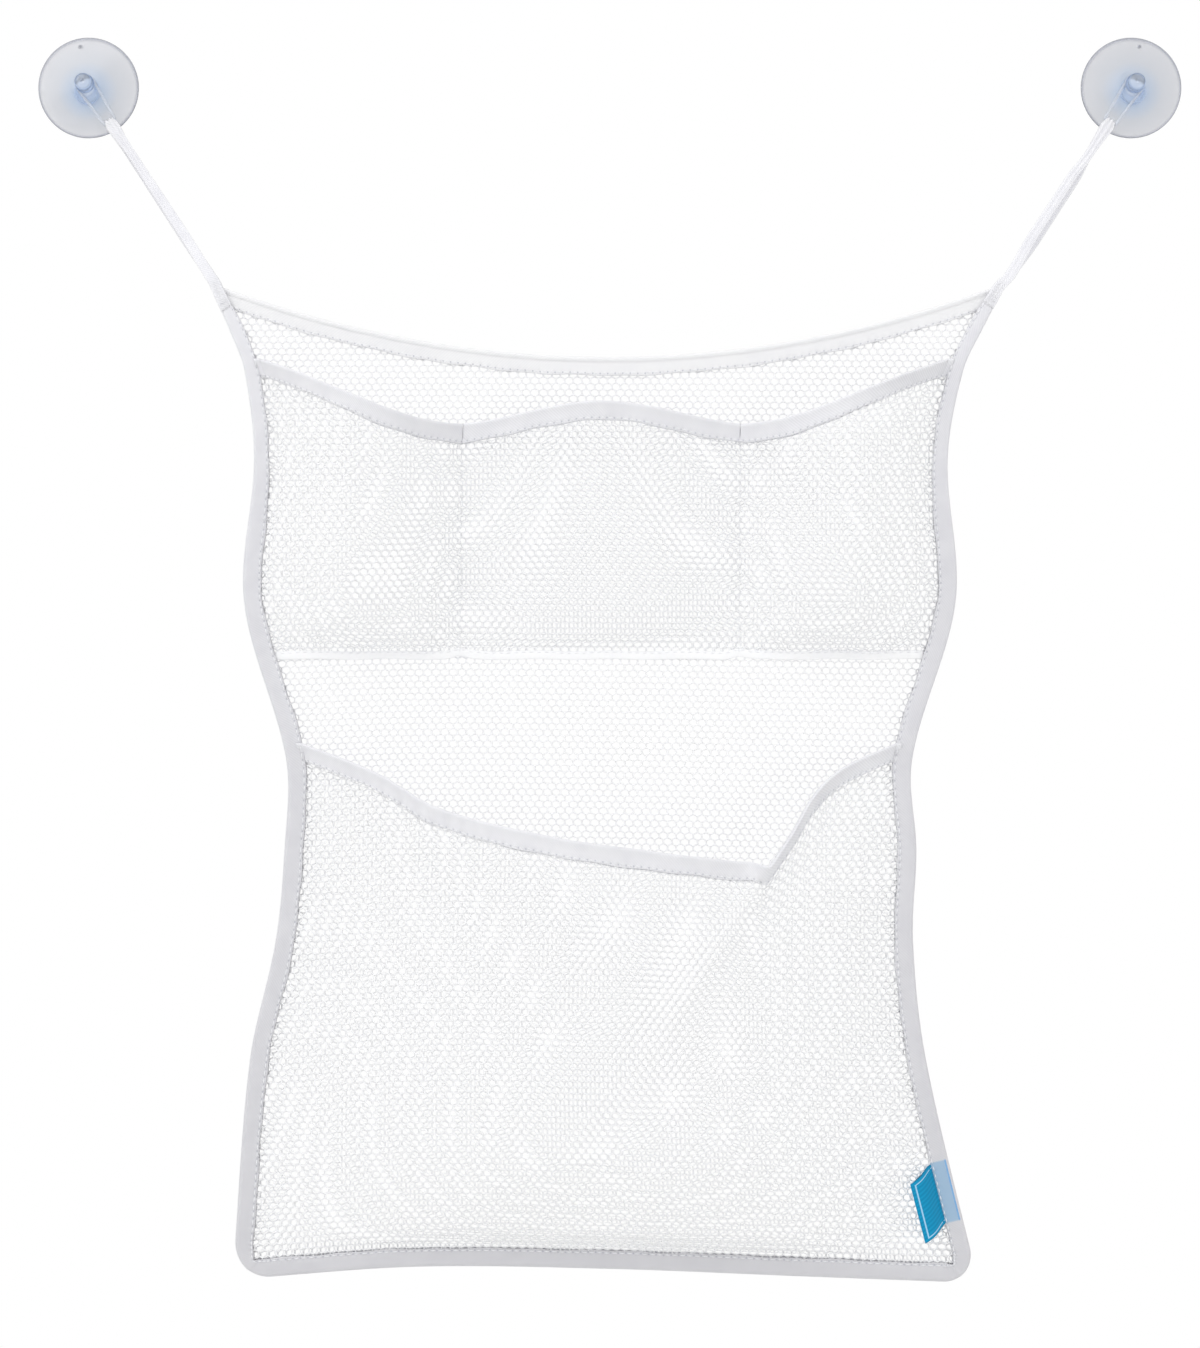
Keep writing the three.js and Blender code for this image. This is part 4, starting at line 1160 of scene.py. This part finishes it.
# %% Lines of a strap
STRAP_WIDTH = 5.8
STRAP_SEWN = 13
STRAP_WIDTHS = [(HANGER_REACH - 1, 4.0), (HANGER_REACH + 2, 6.0), (28, 5.4), (36, 4.3), (62, 4.5), (90, 4.9),
                (STRAP_RUN, 5.2), (STRAP_RUN + STRAP_SEWN, STRAP_WIDTH)]
STRAP_PARTS = {"left": (26, 0.4), "right": (38, 1.15)}
STRAP_PART_RUN = 14
STRAP_MEET = (STRAP_RUN - 26, STRAP_RUN - 4)
STRAP_FLUSH = (STRAP_RUN - 5, STRAP_RUN + 5)
FLUSH_ROUNDS = 8
STRAP_LEG_OUTS = (BIND_FRONT + SEAM_GAP + TAPE_THICK / 2, BIND_BACK - SEAM_GAP - TAPE_THICK / 2)
STRAP_SINK = 0.65
STRAP_SINKS = (STRAP_RUN + 8, STRAP_RUN + STRAP_SEWN)
STRAP_STEPS = 90
EYE_TURN = CORD_RADIUS + SEAM_GAP + TAPE_THICK / 2
EYE_STEPS = 14


def strap_bend(side, run):
    """How far a strap's end moves outwards to lie flush with the outer edge of the side tape. The gap to that
    edge is closed in a few rounds, and the strap turns to it over its last stretch."""
    half = through(STRAP_WIDTHS, run) / 2
    shift = np.zeros(len(run))
    for _ in range(FLUSH_ROUNDS):
        edge = along_strap(side, run, 0, side * (shift + half))
        shift += side * (edge_x(side, -edge[:, 2]) - edge[:, 0])
    return shift * smooth(run, *STRAP_FLUSH)


def strap_leg(side, leg_out, eye_out, shift, parts_at):
    """Run, out and shift outwards of one leg from the eye to its sewn end."""
    run = np.linspace(HANGER_REACH, STRAP_RUN + STRAP_SEWN, STRAP_STEPS)
    fall = smooth(run, HANGER_REACH, STRAP_RUN - STRAP_SEWN)
    part = smooth(run, parts_at, parts_at + STRAP_PART_RUN) * (1 - smooth(run, *STRAP_MEET))
    sink = STRAP_SINK * smooth(run, *STRAP_SINKS) * (leg_out > PANEL_OUT)
    out = eye_out + (leg_out - eye_out) * fall - sink
    return np.stack([run, out, shift * part + strap_bend(side, run)], -1)


def strap_line(name, side):
    """The same three values up the front leg, round the eye and down the back leg."""
    parts_at, apart = STRAP_PARTS[name]
    fore = strap_leg(side, STRAP_LEG_OUTS[0], HANGER_OUT + EYE_TURN, -apart, parts_at)
    aft = strap_leg(side, STRAP_LEG_OUTS[1], HANGER_OUT - EYE_TURN, apart, parts_at)
    turn = np.linspace(np.pi / 2, 3 * np.pi / 2, EYE_STEPS)[1:-1]
    eye_run = HANGER_REACH + EYE_TURN * np.cos(turn)
    eye_out = HANGER_OUT + EYE_TURN * np.sin(turn)
    eye = np.stack([eye_run, eye_out, 0 * turn], -1)
    return np.concatenate([fore[::-1], eye, aft]).T


# %% Straps
STRAP_GATHER = 53
STRAP_ACROSS = 15
GATHER_HEIGHT = 0.35
GATHER_EASE = 0.75
GATHER_WAVE = (7, 1.3)
RIBBON_EDGE = 8
RIBBON_THIN = 0.02


def strap(name, side):
    """One ribbon along both legs, with gathers along its length that ease towards the bag."""
    run, out, shift = strap_line(name, side)
    path = along_strap(side, run, out, side * shift)
    way = unit(np.gradient(path, axis=0))
    _, _, cross = strap_frame(side)
    face = unit(np.cross(way, cross))[:, None]
    spread = smooth(run, HANGER_REACH, HANGER_REACH + STRAP_GATHER)
    width = through(STRAP_WIDTHS, np.maximum(run, STRAP_WIDTHS[0][0]))
    v = np.linspace(-1, 1, STRAP_ACROSS)
    waves = np.cos(v * GATHER_WAVE[0] + GATHER_WAVE[1])
    gather = GATHER_HEIGHT * (1 - GATHER_EASE * spread)[:, None] * waves
    half = TAPE_THICK / 2 * np.sqrt(np.maximum(1 - v ** RIBBON_EDGE, RIBBON_THIN))
    middle = path[:, None] + (width[:, None] / 2 * v)[..., None] * cross
    top = middle + (gather + half)[..., None] * face
    low = middle + (gather - half)[..., None] * face
    rings = np.concatenate([top, low[:, ::-1]], axis=1)
    faces, places = carried(rings)
    around = np.concatenate([v, v[::-1], [-1]]) * STRAP_WIDTH / 2 + TAPE_WIDTH
    uv = np.stack([lengths(path)[places[:, 0]], around[places[:, 1]]], -1) * MM
    piece = make(name + "_strap_tape", rings.reshape(-1, 3), faces, FINE_TAPE, uv=uv)
    shut(piece)
    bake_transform(piece)
    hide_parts(name + "_strap")


for name, side in SIDES.items():
    strap(name, side)

# %% Bar tacks
TACK_RUNS = (6.2, 8.0, 9.8)
TACK_PITCH = 1.0
TACK_STITCHES = 4
tack_across = (np.arange(TACK_STITCHES) - (TACK_STITCHES - 1) / 2) * TACK_PITCH
tacks = []
for side in SIDES.values():
    for run in STRAP_RUN + np.array(TACK_RUNS):
        across = tack_across + side * strap_bend(side, np.array([run]))
        line = along_strap(side, run, STRAP_LEG_OUTS[0] + TAPE_THICK / 2, across)
        tacks.append((line, repeated(FRONT, TACK_STITCHES)))
stitches("corner_bar_tacks", tacks, TACK_PITCH)

# %% [markdown]
# ## Woven label
# The label is a blue damask ribbon folded double and caught in the seam. It is left bare: a blue field with
# a thin pale line along its edges. It stands off the net, and its free edge droops.

# %% Label material
LABEL_LENGTH = 28
LABEL_REACH = 14
LINE_INSET = 1.5
LINE_HALF = 0.28
WEAVE = 6


def damask_label(tree):
    """The pale line is drawn by the map: two short sides along y and the long one along x, cut at the corners
    where they meet."""
    cloth, x, y = on_cloth(tree)
    from_middle = calc(tree, "ABSOLUTE", calc(tree, "ADD", x, -LABEL_LENGTH / 2 * MM))
    line_end = LINE_INSET - LINE_HALF
    short = calc(tree, "COMPARE", from_middle, (LABEL_LENGTH / 2 - LINE_INSET) * MM, LINE_HALF * MM)
    short = calc(tree, "MULTIPLY", short, calc(tree, "LESS_THAN", y, (LABEL_REACH - line_end) * MM))
    long = calc(tree, "COMPARE", y, (LABEL_REACH - LINE_INSET) * MM, LINE_HALF * MM)
    inner = calc(tree, "LESS_THAN", from_middle, (LABEL_LENGTH / 2 - line_end) * MM)
    line = calc(tree, "MAXIMUM", short, calc(tree, "MULTIPLY", long, inner))
    waves = {"Vector": cloth, "Scale": 1 / (WEAVE * MM), "Distortion": 0.6}
    weave = add(tree, "ShaderNodeTexWave", waves).outputs["Fac"]
    field = between(tree, weave, "#0C86B2", "#1494C2")
    return {"Base Color": between(tree, line, field, "#9CCBE8"), "Normal": relief(tree, weave, 0.3, 0.15),
            "Roughness": 0.6, "IOR": 1.5, "Specular IOR Level": 0.12, "Sheen Weight": 0.03}


LABEL = material("damask_label", damask_label)

# %% Label
LABEL_DROP = 516
LABEL_TILT = np.radians(31)
LABEL_BOW = 0.25
LABEL_DROOP = 5
LABEL_DROOP_CURVE = 1.3
LABEL_THICK = 0.4
LABEL_PRESSED = 0.3
LABEL_OPENS = 4
LABEL_STEPS = 40


def woven_label():
    """A folded ribbon that stands off at a tilt from its root in the seam. Its two layers are pressed
    together at the root, and its first stretch bends with the bag."""
    seam_way = unit(np.array([-edge_slope(1, LABEL_DROP), 0, 1.0]))
    into_bag = np.array([-seam_way[2], 0, seam_way[0]])
    root = place(inside_x(1, LABEL_DROP, TAPE_WIDTH + SEAM_GAP), BIND_FRONT - SEAM_GAP / 2, LABEL_DROP)
    outside = LABEL_THICK + SEAM_GAP / 2
    section = folded(-outside, outside, LABEL_REACH, LABEL_THICK)
    along = np.linspace(-LABEL_LENGTH / 2, LABEL_LENGTH / 2, LABEL_STEPS)
    reach = LABEL_REACH - section[:, 0]
    tilt = LABEL_TILT + LABEL_BOW * np.sin(reach / LABEL_REACH * np.pi)
    layers = section[:, 1] * (LABEL_PRESSED + (1 - LABEL_PRESSED) * smooth(reach, 0, LABEL_OPENS))
    lift = reach * np.sin(tilt) + layers * np.cos(tilt)
    run = reach * np.cos(tilt) - layers * np.sin(tilt)
    droop = along[:, None] - LABEL_DROOP * (reach / LABEL_REACH) ** LABEL_DROOP_CURVE
    rings = root + run[:, None] * into_bag + lift[:, None] * FRONT + droop[..., None] * seam_way
    faces, places = carried(rings)
    edge = np.append(from_edge(section), 0)
    uv = np.stack([(along + LABEL_LENGTH / 2)[places[:, 0]], edge[places[:, 1]]], -1) * MM
    label = make("woven_label", rings.reshape(-1, 3), faces, LABEL, uv=uv)
    shut(label)
    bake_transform(label)
    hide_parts("woven_tab")


woven_label()

# %% [markdown]
# ## Stage, light and camera
# The object hangs free over a pale floor, in front of plain white. White cloth on white needs soft shade
# to be seen, so a broad key light comes from the upper left and the world fills the rest.

# %% Floor
FLOOR_DROP = 1000
FLOOR_HALF = 1400
FLOOR_GRAIN = 1000 / 30


def pale_floor(tree):
    tone = between(tree, noise(tree, FLOOR_GRAIN), "#ECECEA", "#F2F2F0")
    return {"Base Color": tone, "Roughness": 0.8}


FLOOR_ENDS = (-FLOOR_HALF, FLOOR_HALF)
floor_points = np.array([(x, y, -FLOOR_DROP) for x in FLOOR_ENDS for y in FLOOR_ENDS], float)
floor = make("floor", floor_points, [(0, 2, 3, 1)], material("pale_floor", pale_floor))

# %% World
FILL = 0.78
world = bpy.data.worlds.new("studio")
world.use_nodes = True
tree = world.node_tree
tree.nodes.clear()
rays = add(tree, "ShaderNodeLightPath").outputs
seen = calc(tree, "MAXIMUM", rays["Is Camera Ray"], rays["Is Glossy Ray"])
clear = calc(tree, "MAXIMUM", seen, rays["Is Transmission Ray"])
strength = calc(tree, "MULTIPLY_ADD", clear, 1 - FILL, FILL)
light = add(tree, "ShaderNodeBackground", {"Color": colour("#FFFFFF"), "Strength": strength})
add(tree, "ShaderNodeOutputWorld", {"Surface": light.outputs["Background"]})
bpy.context.scene.world = world

# %% Lamps
TARGET = np.array([0, 0, -300.0])


def lamp(name, spot, size, watts):
    """A square lamp that faces the middle of the bag."""
    data = bpy.data.lights.new(name, "AREA")
    data.size = size * MM
    data.energy = watts
    made = bpy.data.objects.new(name, data)
    made.location = np.array(spot) * MM
    made.rotation_euler = Vector((TARGET - np.array(spot)).tolist()).to_track_quat("-Z", "Y").to_euler()
    bpy.context.scene.collection.objects.link(made)


lamp("key", spot=(-1300, -2000, 1500), size=2600, watts=34)
lamp("fill", spot=(1500, -1500, -900), size=900, watts=5)

# %% Camera
CAMERA_X = -4.6
CAMERA_DROP = 274
CAMERA_OUT = 1100
LENS = 62.8
SENSOR = 36
CLIP_START = 0.05
camera = bpy.data.cameras.new("camera")
camera.lens = LENS
camera.sensor_width = SENSOR
camera.clip_start = CLIP_START
eye = bpy.data.objects.new("camera", camera)
eye.location = (CAMERA_X * MM, -CAMERA_OUT * MM, -CAMERA_DROP * MM)
eye.rotation_euler = (np.pi / 2, 0, 0)
bpy.context.scene.collection.objects.link(eye)
bpy.context.scene.camera = eye
bpy.context.scene.view_settings.view_transform = "Standard"
